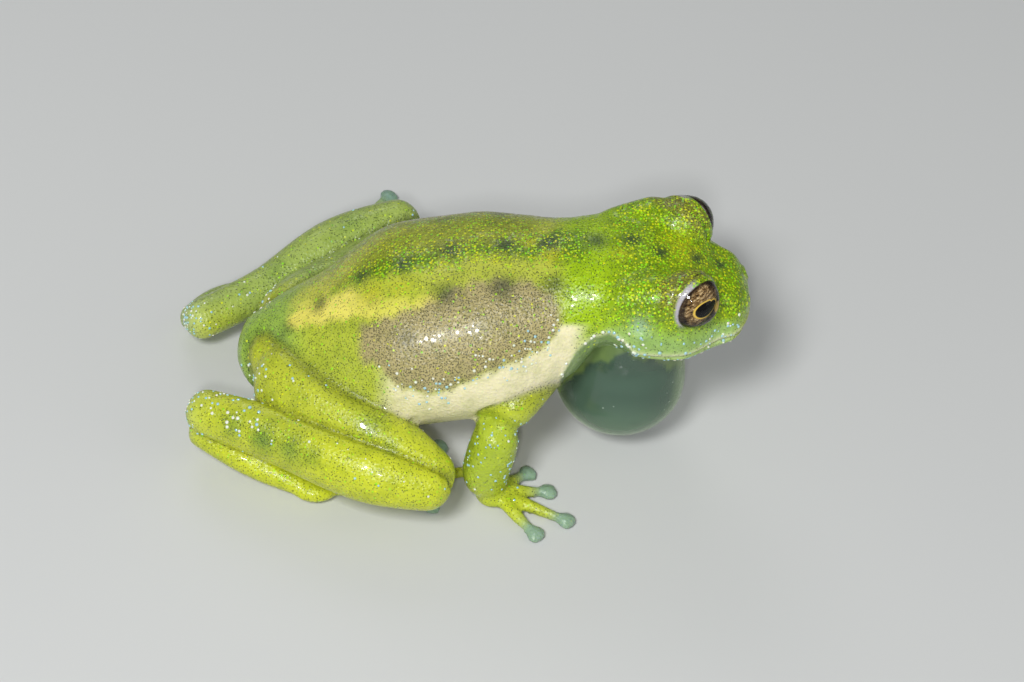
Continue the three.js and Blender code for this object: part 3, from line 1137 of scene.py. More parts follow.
@dataclass
class Eye:
    """An eyeball with a sunken iris, under a clear cornea.

    The iris starts at iris_angle degrees from the gaze and rises by iris_rise to a blunt lens. The cornea
    is a sphere that swells in front.
    """

    side: Side
    iris_angle: float = 61.0
    iris_rise: float = 0.30
    ball_radius: float = 1.29
    cornea_radius: float = 1.31
    cornea_swell: float = 0.12
    swell_reach: float = 0.75
    sides: int = 64

    def _turned(self, name: str, profile: Array) -> bpy.types.Object:
        """A profile turned round the gaze, from the back to the front.

        Args:
            name: The piece's name before its side.
            profile: Rows of (radius, height along the gaze).

        Returns:
            The closed piece.
        """
        frame = EyeFrame(self.side)
        gaze, level, _ = frame.axes
        across = np.cross(gaze, level)
        angle = 2 * np.pi * np.arange(self.sides) / self.sides
        around = np.cos(angle)[:, None] * level + np.sin(angle)[:, None] * across
        rings = frame.centre + profile[:, :1, None] * around[None] + profile[:, 1:, None] * gaze
        return new_object(f"{name}_{self.side.word}", closed_tube(rings))

    def iris(self, shift: Array) -> bpy.types.Object:
        """The opaque eyeball: a sphere at the back, and in front the iris, h = rise * (1 - (1 - s)^2).

        Args:
            shift: The row frame's place of the frog's origin, in millimetres.

        Returns:
            The piece.
        """
        back = np.radians(np.linspace(178.0, self.iris_angle, 28))
        sphere = self.ball_radius * np.stack([np.sin(back), np.cos(back)], 1)
        share = np.linspace(0.0, 1.0, 30)[1:-1, None]
        rim = sphere[-1]
        dome = np.hstack([rim[0] * (1.0 - share), rim[1] + self.iris_rise * (1.0 - (1.0 - share) ** 2.0)])
        made = self._turned("iris", np.vstack([sphere, dome]))
        frame = EyeFrame(self.side)
        gaze, level, up = frame.axes
        away = points_of(made.data) - frame.centre
        store(made.data, "eye_place", np.stack([away @ level, away @ up, away @ gaze], 1), Stored.VECTOR)
        settle(made, shift, IrisFinish().material())
        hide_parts(f"eye_{self.side.word}")
        return made

    def cornea(self, shift: Array) -> bpy.types.Object:
        """The clear outer film: a whole sphere, r = radius + swell * exp(-(angle / reach)^2).

        Args:
            shift: The row frame's place of the frog's origin, in millimetres.

        Returns:
            The piece.
        """
        angle = np.radians(np.linspace(179.0, 1.0, 48))
        radius = self.cornea_radius + self.cornea_swell * gauss(angle, self.swell_reach)
        made = self._turned("cornea", np.stack([radius * np.sin(angle), radius * np.cos(angle)], 1))
        settle(made, shift, CorneaFinish().material())
        return made


@dataclass(frozen=True)
class Spot:
    """A round mark on the skin: its place in millimetres, how far it reaches and how strong it is."""

    at: Triple
    reach: float
    strength: float = 1.0


BLOTCHES = (
    Spot((-5.1, -0.1, 8.6), 0.42),
    Spot((-3.4, -0.2, 9.6), 0.42),
    Spot((-1.4, 0.2, 10.3), 0.5),
    Spot((1.1, 0.2, 10.9), 0.5),
    Spot((3.0, 0.2, 11.3), 0.5),
    Spot((5.1, 0.2, 11.7), 0.5),
    Spot((6.7, 0.3, 11.8), 0.4),
    Spot((8.0, -0.4, 11.8), 0.4),
    Spot((-6.9, -0.4, 6.9), 0.4),
    Spot((-8.3, -0.9, 5.6), 0.4),
    Spot((-4.6, -1.8, 8.6), 0.28),
    Spot((-3.8, -1.9, 8.9), 0.26),
    Spot((-1.5, -2.1, 9.8), 0.55),
    Spot((1.0, -2.0, 10.4), 0.6),
    Spot((3.3, -2.0, 10.7), 0.5),
    Spot((-3.1, -3.6, 8.4), 0.45),
    Spot((-4.6, 1.8, 8.6), 0.28, 0.6),
    Spot((-1.5, 2.9, 9.5), 0.45, 0.6),
    Spot((1.0, 3.0, 10.0), 0.5, 0.6),
    Spot((3.3, 2.9, 10.3), 0.45, 0.6),
    Spot((8.8, -2.4, 12.2), 0.45, 0.7),
    Spot((8.8, 2.4, 12.2), 0.45, 0.7),
    Spot((10.9, 0.2, 10.7), 0.3),
    Spot((9.7, -0.1, 11.2), 0.35),
)
LIMB_PATCHES = (
    Spot((-9.2, -5.8, 3.6), 0.7),
    Spot((-8.0, -6.5, 3.8), 0.7, 0.8),
    Spot((-7.0, -6.9, 3.9), 0.5, 0.6),
    Spot((-10.6, -5.0, 3.5), 0.6, 0.7),
    Spot((-4.5, -6.0, 5.2), 0.7, 0.6),
    Spot((-3.6, -6.7, 4.7), 0.5, 0.5),
    Spot((-9.0, 5.4, 3.4), 0.7, 0.4),
    Spot((-5.6, 7.9, 4.4), 0.7, 0.4),
    Spot((2.3, -5.3, 3.4), 0.45, 0.8),
)
GOLD_PATCHES = (
    Spot((-0.2, -0.5, 10.5), 0.35),
    Spot((0.8, -0.5, 10.7), 0.4),
    Spot((2.2, 0.3, 11.1), 0.35),
    Spot((3.1, -0.5, 11.2), 0.5),
    Spot((-1.6, -0.4, 10.1), 0.4),
    Spot((-3.4, -1.4, 9.2), 0.6),
    Spot((-4.6, -1.3, 8.7), 0.6),
    Spot((6.2, -0.6, 11.5), 0.4),
    Spot((9.0, 0.3, 11.4), 0.9, 0.7),
)


@dataclass(frozen=True)
class Band:
    """A stretch of the flank between two lines, on the slanted chart that both sides share.

    A row is (across, lower edge, upper edge); soft is how wide the edges fade, ragged how far they wander.
    """

    rows: tuple[Triple, ...]
    soft: float = 0.2
    ragged: float = 0.0

    def _over(self, value: Array, edge: float | Array) -> Array:
        """How far each value lies over an edge that fades, from zero to one."""
        return ramp(value, edge - self.soft, edge + self.soft)

    def lower(self, across: Array) -> Array:
        """The height of the band's lower edge at places across the chart."""
        place, edge, _ = np.array(self.rows).T
        return np.interp(across, place, edge)

    def share(self, across: Array, up: Array) -> Array:
        """How far each place on the chart lies inside.

        Args:
            across: The places across the chart.
            up: The places up it.

        Returns:
            One number a place, from zero to one.
        """
        place, _, upper = np.array(self.rows).T
        wander = np.sin(5.3 * across + 2.1 * up) + np.sin(11.7 * across - 3.9 * up + 1.3) * 0.6
        high = up + self.ragged * (wander + 0.5 * np.sin(23.0 * across + 17.0 * up))
        inside = self._over(high, self.lower(across))
        inside *= 1.0 - self._over(high, np.interp(across, place, upper))
        return inside * self._over(across, place[0]) * (1.0 - self._over(across, place[-1]))


BROWN_FLANK = Band(
    (
        (-4.3, 2.6, 4.1),
        (-3.4, 2.2, 4.4),
        (-2.4, 1.3, 4.8),
        (-1.0, 1.0, 5.3),
        (0.1, 1.4, 5.9),
        (1.6, 2.1, 6.2),
        (3.2, 2.7, 6.1),
        (4.2, 3.3, 5.7),
        (4.7, 4.1, 4.8),
    ),
    0.28,
    0.09,
)
YELLOW_STRIPE = Band(
    (
        (-7.7, 4.05, 4.65),
        (-6.9, 4.1, 5.0),
        (-5.8, 4.3, 5.45),
        (-4.7, 4.5, 5.75),
        (-3.3, 4.4, 5.4),
        (-2.0, 4.8, 5.3),
        (-0.8, 5.2, 5.6),
    ),
    0.25,
    0.06,
)
PALE_RIDGE = Band(((-1.5, 5.3, 6.6), (0.5, 6.1, 7.2), (2.5, 6.3, 7.2), (4.4, 6.2, 7.0)), 0.35, 0.08)
GREEN_BACK = Band(
    (
        (-8.5, 4.9, 9.9),
        (-5.0, 6.1, 9.9),
        (-2.0, 6.6, 9.9),
        (1.0, 7.0, 9.9),
        (6.0, 7.0, 9.9),
    ),
    0.3,
    0.1,
)
# The line on the chart, as (across, up), under which the throat is stretched.
THROAT_RIM = ((4.6, 0.6), (4.75, 1.85), (5.45, 3.05), (6.1, 3.6), (6.9, 3.85), (7.6, 3.4), (8.1, 2.85))
# The nostril's paler skin lies a little lower than the nostril.
NOSTRIL_SKIN = (12.35, 0.9, 9.7)
ARMS = (Spot((1.3, -5.1, 3.0), 2.4), Spot((2.2, 5.3, 3.0), 2.4))
HEELS = (Spot((-13.2, -3.1, 2.6), 1.3), Spot((-13.6, 2.9, 1.9), 1.4))


def marked(points: Array, spots: Sequence[Spot]) -> Array:
    """How strongly any of the spots marks each point, from zero to one.

    Args:
        points: The points.
        spots: The spots. Each is a bell round its place.

    Returns:
        The greatest of the bells at each point.
    """
    total = np.zeros(len(points))
    for spot in spots:
        away = np.linalg.norm(points - np.asarray(spot.at), axis=1)
        total = np.maximum(total, spot.strength * gauss(away, spot.reach))
    return total


def chart(points: Array) -> tuple[Array, Array]:
    """Each point's place across and up the slanted chart of one flank, which the other flank mirrors."""
    turned = points * np.where(points[:, 1:2] > 0, [[1.0, -1.0, 1.0]], [[1.0, 1.0, 1.0]])
    return turned @ np.asarray(CHART_ACROSS), turned @ np.asarray(CHART_UP)


def over_throat(across: Array, up: Array) -> Array:
    """How far places on the chart lie over the line where the stretched throat begins.

    Args:
        across: The places across the chart.
        up: The places up it.

    Returns:
        One distance a place. It grows past both ends of the line too.
    """
    place, line = np.array(THROAT_RIM).T
    beyond = np.abs(across - np.clip(across, place[0], place[-1]))
    return up - np.interp(across, place, line) + 4.0 * beyond


def trunk_polar(points: Array) -> tuple[Array, Array]:
    """Where points lie round the middle of trunk and head.

    Args:
        points: The points.

    Returns:
        Degrees from the top of the back, and the distance out as a share of the body's size there.
    """
    stations = sorted(TRUNK.stations[:-1] + HEAD.stations[2:], key=lambda s: s.at[0])
    x = [s.at[0] for s in stations]
    rows = [(s.at[2], s.wide, s.up, s.down) for s in stations]
    z, wide, up, down = (np.interp(points[:, 0], x, values) for values in zip(*rows))
    high = points[:, 2] - z
    angle = np.degrees(np.arctan2(np.abs(points[:, 1]), high))
    return angle, np.hypot(points[:, 1] / wide, high / np.where(high > 0, up, down))


class Lie:
    """Where each point of the skin lies, in all the ways that the markings read."""

    def __init__(self, points: Array, limb: Array) -> None:
        """Works the places out.

        Args:
            points: The skin's points.
            limb: How much each point belongs to an arm or leg.
        """
        self.points = points
        self.x, self.y, self.z = points.T
        self.angle, self.out = trunk_polar(points)
        self.across, self.up = chart(points)
        self.limb = limb
        self.trunk = np.maximum(1.0 - limb, ramp(self.x, 4.8, 5.8) * ramp(self.z, 6.0, 7.2))
        self.head = ramp(self.x, 5.2, 6.6)
        self.top = 1.0 - ramp(self.angle, 80.0, 96.0)
        self.far = ramp(self.y, 0.0, 0.4)


@dataclass(frozen=True)
class Markings:
    """The skin's tints and the density of its dots, all worked out from where each point lies."""

    lime: Triple = (0.15, 0.27, 0.001)
    head: Triple = (0.22, 0.36, 0.001)
    side_green: Triple = (0.50, 0.58, 0.05)
    rump: Triple = (0.36, 0.54, 0.08)
    neck: Triple = (0.38, 0.58, 0.005)
    ridge: Triple = (0.25, 0.29, 0.008)
    pale: Triple = (0.52, 0.57, 0.07)
    deep: Triple = (0.025, 0.055, 0.03)
    gold: Triple = (0.62, 0.60, 0.02)
    stripe: Triple = (0.94, 0.84, 0.16)
    flank: Triple = (0.48, 0.40, 0.19)
    cream: Triple = (0.93, 0.86, 0.55)
    limb: Triple = (0.60, 0.66, 0.03)
    thigh: Triple = (0.52, 0.58, 0.04)
    far_leg: Triple = (0.34, 0.46, 0.12)
    patch: Triple = (0.13, 0.27, 0.04)
    arm: Triple = (0.42, 0.55, 0.04)
    heel: Triple = (0.46, 0.58, 0.30)
    cheek: Triple = (0.36, 0.57, 0.17)
    chin: Triple = (0.40, 0.52, 0.18)
    lip: Triple = (0.82, 0.86, 0.52)
    drum: Triple = (0.42, 0.62, 0.40)
    disc: Triple = (0.24, 0.40, 0.36)
    lilac: Triple = (0.52, 0.48, 0.55)
    lid: Triple = (0.30, 0.27, 0.04)
    throat_skin: Triple = (0.20, 0.33, 0.10)

    @staticmethod
    def _body(lie: Lie) -> dict[str, Array]:
        """The masks of the back, the flanks, the belly and the throat.

        Args:
            lie: Where the points lie.

        Returns:
            Each mask by name, one number a point.
        """
        x, across, up, trunk, top = lie.x, lie.across, lie.up, lie.trunk, lie.top
        ridge = trunk * ramp(lie.y, -0.3, 0.5) * ramp(x, -8.0, -6.0) * (1.0 - ramp(x, 1.6, 3.4)) * top
        seen = 1.0 - lie.far * (1.0 - ramp(lie.angle, 42.0, 60.0))
        brown = BROWN_FLANK.share(across, up) * trunk * top * seen
        under = trunk * ramp(x, -4.6, -3.2) * (1.0 - ramp(x, 4.0, 5.2))
        lower = BROWN_FLANK.lower(across)
        belly = under * (1.0 - ramp(up, lower - 0.1, lower + 0.2))
        sunk = (1.0 - ramp(over_throat(across, up), -0.12, 0.12)) * trunk * ramp(x, 3.2, 4.2)
        return {
            "rump": trunk * (1.0 - ramp(across, -8.2, -6.4)),
            "neck": trunk * ramp(across, 4.2, 5.4) * top,
            "green": GREEN_BACK.share(across, up) * trunk * (1.0 - ramp(x, 4.0, 5.4)) * top,
            "pale": PALE_RIDGE.share(across, up) * trunk * top,
            "ridge": ridge,
            "crown": trunk * lie.head * (1.0 - ramp(lie.angle, 58.0, 84.0)),
            "brown": brown,
            "belly": np.maximum(belly * (1.0 - brown), under * (1.0 - top)),
            "stripe": YELLOW_STRIPE.share(across, up) * trunk * top * (1.0 - 0.7 * lie.far),
            "gold": marked(lie.points, GOLD_PATCHES) * trunk,
            "blotch": marked(lie.points, BLOTCHES) * trunk,
            "sunk": sunk * (lie.z > 4.0) * (1.0 - ramp(across, 7.9, 8.3)),
            "rim": gauss(over_throat(across, up), 0.11) * trunk * (x > 3.6),
        }

    @staticmethod
    def _face(lie: Lie) -> dict[str, Array]:
        """The masks of the head's sides, lips, lids, eardrums and nostrils.

        Args:
            lie: Where the points lie.

        Returns:
            Each mask by name, one number a point.
        """
        x, side_of_head = lie.x, lie.head * lie.trunk
        lip = lie.head * gauss(lie.z - MOUTH_HEIGHT - 0.14, 0.18) * ramp(x, 6.6, 7.4)
        lid, crescent = np.zeros(len(x)), np.zeros(len(x))
        for side in Side:
            distance, theta, around = EyeFrame(side).polar(lie.points)
            close = 1.0 - ramp(distance, 1.75, 2.1)
            upper = ramp(np.cos(np.radians(around - 95.0)), 0.0, 0.6)
            fringe = ramp(theta, 66.0, 76.0) * (1.0 - ramp(theta, 104.0, 124.0))
            lid = np.maximum(lid, close * fringe * upper)
            behind = ramp(np.cos(np.radians(around - 158.0)), 0.25, 0.75)
            crescent = np.maximum(crescent, close * (1.0 - ramp(theta, 71.0, 77.0)) * behind)
        return {
            "cheek": side_of_head * ramp(lie.angle, 68.0, 84.0) * (1.0 - ramp(x, 11.4, 12.4)),
            "drum": marked(lie.points, [Spot(side.place(EARDRUM), 0.5) for side in Side]),
            "nose": marked(lie.points, [Spot(side.place(NOSTRIL_SKIN), 0.28) for side in Side]),
            "lip": lip * ramp(lie.out, 0.75, 0.9),
            "chin": side_of_head * ramp(lie.angle, 108.0, 126.0),
            "lid": lid,
            "crescent": crescent,
        }

    @staticmethod
    def _limbs(lie: Lie) -> dict[str, Array]:
        """The masks of the arms and legs.

        Args:
            lie: Where the points lie.

        Returns:
            Each mask by name, one number a point.
        """
        away = 1.0 - lie.trunk
        discs = []
        for fan in (RIGHT_LIMBS.hand, RIGHT_LIMBS.foot, LEFT_LIMBS.hand, LEFT_LIMBS.foot):
            for turn, length in zip(fan.turns, fan.lengths):
                discs.append(Spot(fan.point(turn, length, 0.2), 0.75))
        return {
            "thigh": ramp(lie.z, 3.2, 4.4) * ramp(-np.abs(lie.y), -7.2, -5.4),
            "far_leg": ramp(lie.y, 2.0, 4.0) * away,
            "patch": marked(lie.points, LIMB_PATCHES) * away,
            "arm": np.clip(marked(lie.points, ARMS) * away * 1.4, 0.0, 1.0),
            "heel": marked(lie.points, HEELS),
            "tips": np.clip(marked(lie.points, discs) * 1.5, 0.0, 1.0),
        }

    def _tint(self, lie: Lie, m: Mapping[str, Array]) -> Array:
        """Lays the colours over each other, each by its own mask.

        Args:
            lie: Where the points lie.
            m: Every mask by name.

        Returns:
            One colour a point.
        """
        tint = np.tile(np.asarray(self.limb), (len(lie.x), 1))
        layers = (
            (self.thigh, m["thigh"]),
            (self.far_leg, m["far_leg"] * 0.85),
            (self.side_green, lie.trunk),
            (self.rump, m["rump"]),
            (self.neck, m["neck"]),
            (self.lime, m["green"]),
            (self.pale, m["pale"] * 0.8),
            (self.ridge, m["ridge"] * 0.7),
            (self.head, m["crown"]),
            (self.flank, m["brown"] * 0.95),
            (self.cream, m["belly"]),
            (self.stripe, m["stripe"] * (1.0 - 0.45 * ramp(lie.across, -5.5, -2.5))),
            (self.gold, m["gold"] * 0.75),
            (self.deep, m["blotch"] * 0.8),
            (self.patch, m["patch"] * 0.8),
            (self.cheek, m["cheek"] * 0.85),
            (self.drum, m["drum"] * 0.8),
            (self.heel, m["nose"] * 0.7),
            (self.lip, m["lip"]),
            (self.chin, m["chin"] * 0.8),
            (self.throat_skin, m["sunk"] * 0.9),
            (self.lip, m["rim"] * 0.6),
            (self.arm, m["arm"] * 0.85),
            (self.heel, m["heel"] * 0.7),
            (self.disc, m["tips"] * 0.85),
            (self.lid, m["lid"] * 0.7),
            (self.lilac, m["crescent"] * 0.9),
        )
        for colour, share in layers:
            tint = blend(tint, colour, share)
        return tint

    @staticmethod
    def _dark(lie: Lie, m: Mapping[str, Array]) -> Array:
        """How dense the dark dots are.

        Args:
            lie: Where the points lie.
            m: Every mask by name.

        Returns:
            One number a point.
        """
        dark = 0.5 - 0.22 * lie.limb + 0.10 * m["green"] + 0.45 * m["brown"] + 0.5 * m["blotch"]
        dark += 0.6 * m["patch"] + 0.6 * m["lid"] - 0.2 * m["stripe"]
        dark += -0.1 * m["crown"] - 0.3 * m["cheek"] - 0.15 * m["arm"]
        return dark * (1.0 - m["belly"]) * (1.0 - m["crescent"]) * (1.0 - m["tips"]) * (1.0 - m["sunk"])

    @staticmethod
    def _bright(m: Mapping[str, Array]) -> Array:
        """How dense the bright dots are.

        Args:
            m: Every mask by name.

        Returns:
            One number a point.
        """
        bright = 0.10 + 0.74 * np.maximum(m["green"], m["crown"]) + 0.2 * m["gold"]
        bright += 0.4 * m["ridge"] * (1.0 - m["green"])
        bright *= (1.0 - m["belly"]) * (1.0 - m["crescent"]) * (1.0 - m["tips"])
        return bright * (1.0 - 0.7 * m["cheek"]) * (1.0 - 0.5 * m["blotch"])

    def paint(self, mesh: bpy.types.Mesh, limb: Array, fold: Array) -> dict[str, Array]:
        """Writes tint, dark and bright onto the mesh.

        Args:
            mesh: The skin, in the frog's frame.
            limb: How much each point belongs to an arm or leg.
            fold: How near each point lies to a fold between parts of the body; there the tint is darkened and
                the dark dots are thickened as painted shade in the creases.

        Returns:
            The masks that the warts follow.
        """
        lie = Lie(points_of(mesh), limb)
        m = {**self._body(lie), **self._face(lie), **self._limbs(lie)}
        # Painted shade in the creases: near a fold the tint is darkened by up to a third and the dark dots
        # grow denser.
        store(mesh, "tint", self._tint(lie, m) * (1.0 - 0.35 * fold[:, None]), Stored.COLOUR)
        store(mesh, "dark", np.clip(self._dark(lie, m) + 0.3 * fold, 0.0, 1.0))
        store(mesh, "bright", np.clip(self._bright(m), 0.0, 1.0))
        y, z, angle, across = lie.y, lie.z, lie.angle, lie.across
        edge = lie.trunk * gauss(lie.up - BROWN_FLANK.lower(across) - 0.1, 0.8)
        return {
            "cheek": m["cheek"] * (1.0 - m["crescent"]) * (1.0 - ramp(angle, 108.0, 116.0)),
            "flank": edge * ramp(across, -4.2, -2.0) * (1.0 - ramp(across, 4.6, 5.2)) * (angle < 100.0),
            "arm": m["arm"],
            "heel": m["heel"] * (1.0 - lie.trunk),
            "rump": (1.0 - ramp(lie.x, -9.8, -8.6)) * ramp(angle, 30.0, 50.0) * ramp(z, 2.6, 3.6),
            "rim": m["rim"] * (y < 0) * ramp(np.abs(y), 2.4, 3.0),
            "limb": (1.0 - lie.trunk) * ramp(z, 1.5, 2.5) * (1.0 - m["arm"]),
        }


@dataclass
class Skin:
    """The one skin over trunk, head and limbs.

    The voxel is the cell of the grid on which the flesh is fused. The opening is the eye's, in degrees
    from the gaze. What follows them is worked out by build, one row a point: the masks for the warts, the
    points, their outward directions, and how much each belongs to a limb and to a fold.
    """

    voxel: float = 0.162
    opening: float = 65.0
    sunk_radius: float = 0.45
    masks: dict[str, Array] = field(default_factory=dict)
    points: Array = field(default_factory=lambda: np.zeros((0, 3)))
    outward: Array = field(default_factory=lambda: np.zeros((0, 3)))
    limb: Array = field(default_factory=lambda: np.zeros(0))
    fold: Array = field(default_factory=lambda: np.zeros(0))

    def _fused(self) -> bpy.types.Object:
        """All the flesh as one closed mesh: the overlapping lofts, remeshed on a fine grid of cells.

        Returns:
            The skin's object, still rough.
        """
        surfaces = [HEAD.surface(), TRUNK.surface(), THROAT.surface()]
        surfaces += RIGHT_LIMBS.surfaces() + LEFT_LIMBS.surfaces()
        for side in Side:
            surfaces += [brow(side).surface(), ball(side.place(LID_CENTRE), LID_RADIUS)]
        whole = surfaces[0]
        for surface in surfaces[1:]:
            whole = whole.joined(surface)
        made = new_object("skin", whole)
        cells = made.modifiers.new("cells", "REMESH")
        cells.mode = "VOXEL"
        cells.voxel_size = self.voxel
        applied(made)
        return made

    @staticmethod
    def _joints() -> list[Spot]:
        """Where the parts of the body melt into each other: neck, hips, shoulders, knees, elbows, heels.

        Returns:
            One spot a joint.
        """
        joints = [Spot((5.5, 0.0, 10.6), 2.2, 0.8)]
        for limbs in (RIGHT_LIMBS, LEFT_LIMBS):
            joints.append(Spot(limbs.side.place((-8.6, 1.6, 3.8)), 1.7, 0.6))
            joints.append(Spot(limbs.side.place((3.6, 3.0, 6.4)), 1.3, 0.8))
            joints.append(Spot(limbs.side.place((5.6, 2.6, 9.6)), 2.0, 0.9))
            joints.append(Spot(limbs.thigh.stations[-1].at, 0.6, 0.5))
            joints.append(Spot(limbs.upper_arm.stations[-1].at, 0.8, 0.7))
            joints.append(Spot(limbs.shank.stations[-1].at, 0.6, 0.5))
        return joints

    def _soften(self, mesh: bpy.types.Mesh) -> None:
        """Rounds the grid's steps off everywhere, and melts the joints between the parts of the body.

        Args:
            mesh: The fused skin. Its digits and the skin round the eyes keep their shape.
        """
        p = points_of(mesh)
        slim = 1.0 - ramp(p[:, 2], 0.9, 1.6)
        eyes = marked(p, [Spot(side.place(EYE_CENTRE), 1.9) for side in Side])
        relax(mesh, np.full(len(p), 0.5), 20, 0.98)
        free = (1.0 - slim) * (1.0 - np.clip(eyes * 1.6, 0.0, 1.0))
        relax(mesh, 0.5 * marked(p, self._joints()) * free, 14)
        relax(mesh, 0.5 * free, 3)

    @staticmethod
    def _round_eyes(p: Array) -> Array:
        """The region round both eyes that needs the finest mesh.

        Args:
            p: The skin's points.

        Returns:
            Whether each point lies in it.
        """
        close = np.zeros(len(p), bool)
        for side in Side:
            distance, theta, _ = EyeFrame(side).polar(p)
            close |= (distance < 1.8) & (theta < 92.0)
        return close

    def _crease(self, mesh: bpy.types.Mesh) -> None:
        """Sinks a fold where two parts of the body meet, and keeps how near each point lies to a fold.

        A fold lies where a point is as close to one part's middle as to the other's.

        Args:
            mesh: The softened skin.
        """
        p, outward = points_of(mesh), normals_of(mesh)
        trunk = TRUNK.closeness(p)
        self.limb = np.zeros(len(p))
        self.fold = np.zeros(len(p))
        depth = np.zeros(len(p))
        for limbs in (RIGHT_LIMBS, LEFT_LIMBS):
            own = limbs.closeness(p)
            nearest = np.minimum.reduce(list(own.values()))
            mine = p[:, 1] * limbs.side.value > 0
            self.limb = np.where(mine, ramp(trunk - nearest, -0.06, 0.06), self.limb)
            pairs = (
                (own["thigh"], own["shank"], 0.24, 0.10),
                (own["shank"], own["tarsus"], 0.16, 0.12),
                (own["thigh"], trunk, 0.20, 0.08),
                (own["upper_arm"], trunk, 0.10, 0.10),
            )
            for first, second, deep, wide in pairs:
                close = 1.0 - ramp(np.minimum(first, second), 1.05, 1.35)
                seam = gauss(first - second, wide) * close * mine * ramp(p[:, 2], 0.7, 1.4)
                depth = np.maximum(depth, deep * seam)
                self.fold = np.maximum(self.fold, seam)
        self.limb = np.maximum(self.limb, ramp(trunk, 1.25, 1.5) * (p[:, 2] < 5.5))
        set_points(mesh, p - outward * depth[:, None])

    def _open_eyes(self, mesh: bpy.types.Mesh) -> None:
        """Sinks the skin inside each opening under the eyeball, and lifts a thin rim of lid round it.

        The opening's edge at angle t round the gaze lies at opening + 3 cos 2t - 2 sin t degrees.

        Args:
            mesh: The skin.
        """
        p = points_of(mesh)
        for side in Side:
            frame = EyeFrame(side)
            distance, theta, around = frame.polar(p)
            turn = np.radians(around)
            edge = self.opening + 3.0 * np.cos(2.0 * turn) - 2.0 * np.sin(turn)
            rim = self.sunk_radius + 0.92 * ramp(theta, edge - 6.0, edge + 2.0)
            lid = 0.05 * gauss(theta - edge - 9.0, 5.0) - 0.06 * gauss(theta - edge - 21.0, 5.0)
            blended = rim + (np.maximum(distance, 1.36) - rim + lid) * ramp(theta, edge + 3.0, edge + 22.0)
            radius = np.where(distance < LID_RADIUS + 0.5, blended, distance)
            p = frame.centre + (p - frame.centre) * (radius / np.maximum(distance, 1e-9))[:, None]
        set_points(mesh, p)

    @staticmethod
    def _mouth(p: Array, outward: Array) -> Array:
        """The mouth line, sunk between two lips.

        Args:
            p: The skin's points.
            outward: Their outward directions.

        Returns:
            How far each point moves outwards.
        """
        x, y, z = p.T
        flat = 1.0 - ramp(np.abs(outward[:, 2]), 0.75, 0.95)
        mouth = ramp(x, MOUTH_CORNER, MOUTH_CORNER + 0.8) * flat * ramp(np.hypot(x - 7.0, y), 2.6, 3.2)
        shift = -0.20 * gauss(z - MOUTH_HEIGHT, 0.07) * mouth
        shift += 0.07 * gauss(z - MOUTH_HEIGHT - 0.25, 0.16) * mouth
        shift += 0.04 * gauss(z - MOUTH_HEIGHT + 0.22, 0.14) * mouth
        return shift

    @staticmethod
    def _side_of_face(p: Array, side: Side) -> Array:
        """One side's nostril, eardrum, hollow cheek, snout ridge, and the fold over the eardrum.

        Args:
            p: The skin's points.
            side: The side.

        Returns:
            How far each point moves outwards.
        """
        x, y, z = p.T
        places = (NOSTRIL, EARDRUM, HOLLOW)
        nostril, drum, hollow = (np.linalg.norm(p - side.place(at), axis=1) for at in places)
        shift = -0.22 * gauss(nostril, 0.13) + 0.09 * gauss(nostril - 0.27, 0.13)
        shift += 0.08 * gauss(drum - 0.6, 0.13) - 0.08 * gauss(drum, 0.42)
        shift += -0.16 * gauss(hollow, 0.8)
        ridge = np.hypot(np.abs(y - side.value * 1.5) * 1.2, z - 10.5)
        shift += 0.10 * gauss(ridge, 0.4) * ramp(x, 10.2, 10.8)
        fold = np.hypot((z - 10.75 + 0.35 * (7.6 - x)) / 0.22, (x - 6.6) / 1.5)
        return shift + 0.10 * gauss(fold, 1.0) * (y * side.value > 2.0)

    def _carve(self, mesh: bpy.types.Mesh) -> None:
        """Mouth, nostrils, eardrums, soft folds and the throat's rim, as shifts outwards and inwards.

        Args:
            mesh: The skin.
        """
        p, outward = points_of(mesh), normals_of(mesh)
        shift = self._mouth(p, outward)
        for side in Side:
            shift += self._side_of_face(p, side)
        rim = gauss(over_throat(*chart(p)), 0.10)
        shift += 0.07 * rim * (p[:, 1] * outward[:, 1] > 0) * ramp(np.abs(p[:, 1]), 2.2, 2.8)
        set_points(mesh, p + outward * shift[:, None])

    def build(self, shift: Array) -> bpy.types.Object:
        """Makes the skin, paints its markings, and puts it in place of the flesh solids.

        Args:
            shift: The row frame's place of the frog's origin, in millimetres.

        Returns:
            The piece.
        """
        made = self._fused()
        mesh = made.data
        self._soften(mesh)
        refine(mesh, lambda p: (p[:, 0] > 6.0) & (p[:, 2] > 6.9))
        refine(mesh, self._round_eyes)
        relax(mesh, 0.5 * (points_of(mesh)[:, 0] > 6.2), 3)
        self._crease(mesh)
        self._open_eyes(mesh)
        self._carve(mesh)
        self.masks = Markings().paint(mesh, self.limb, self.fold)
        points = points_of(mesh)
        points[:, 2] = np.maximum(points[:, 2], 0.0)
        set_points(mesh, points)
        self.points, self.outward = points, normals_of(mesh)
        settle(made, shift, SkinFinish().material())
        words = ["arm_upper", "forearm", "hand", "thigh", "shank", "tarsus", "foot"]
        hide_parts("trunk", "head", *[f"{w}_{side.word}" for w in words for side in Side])
        return made


@dataclass(frozen=True)
class Scatter:
    """A region's warts: how many, their least and greatest radius, and the share of bluish ones."""

    count: int
    small: float
    large: float
    bluish: float


WARTS = {
    "cheek": Scatter(190, 0.04, 0.095, 0.7),
    "flank": Scatter(200, 0.04, 0.085, 0.35),
    "arm": Scatter(230, 0.035, 0.075, 0.85),
    "heel": Scatter(120, 0.04, 0.075, 0.6),
    "rump": Scatter(90, 0.05, 0.10, 0.5),
    "rim": Scatter(22, 0.07, 0.10, 0.1),
    "limb": Scatter(80, 0.035, 0.075, 0.4),
}


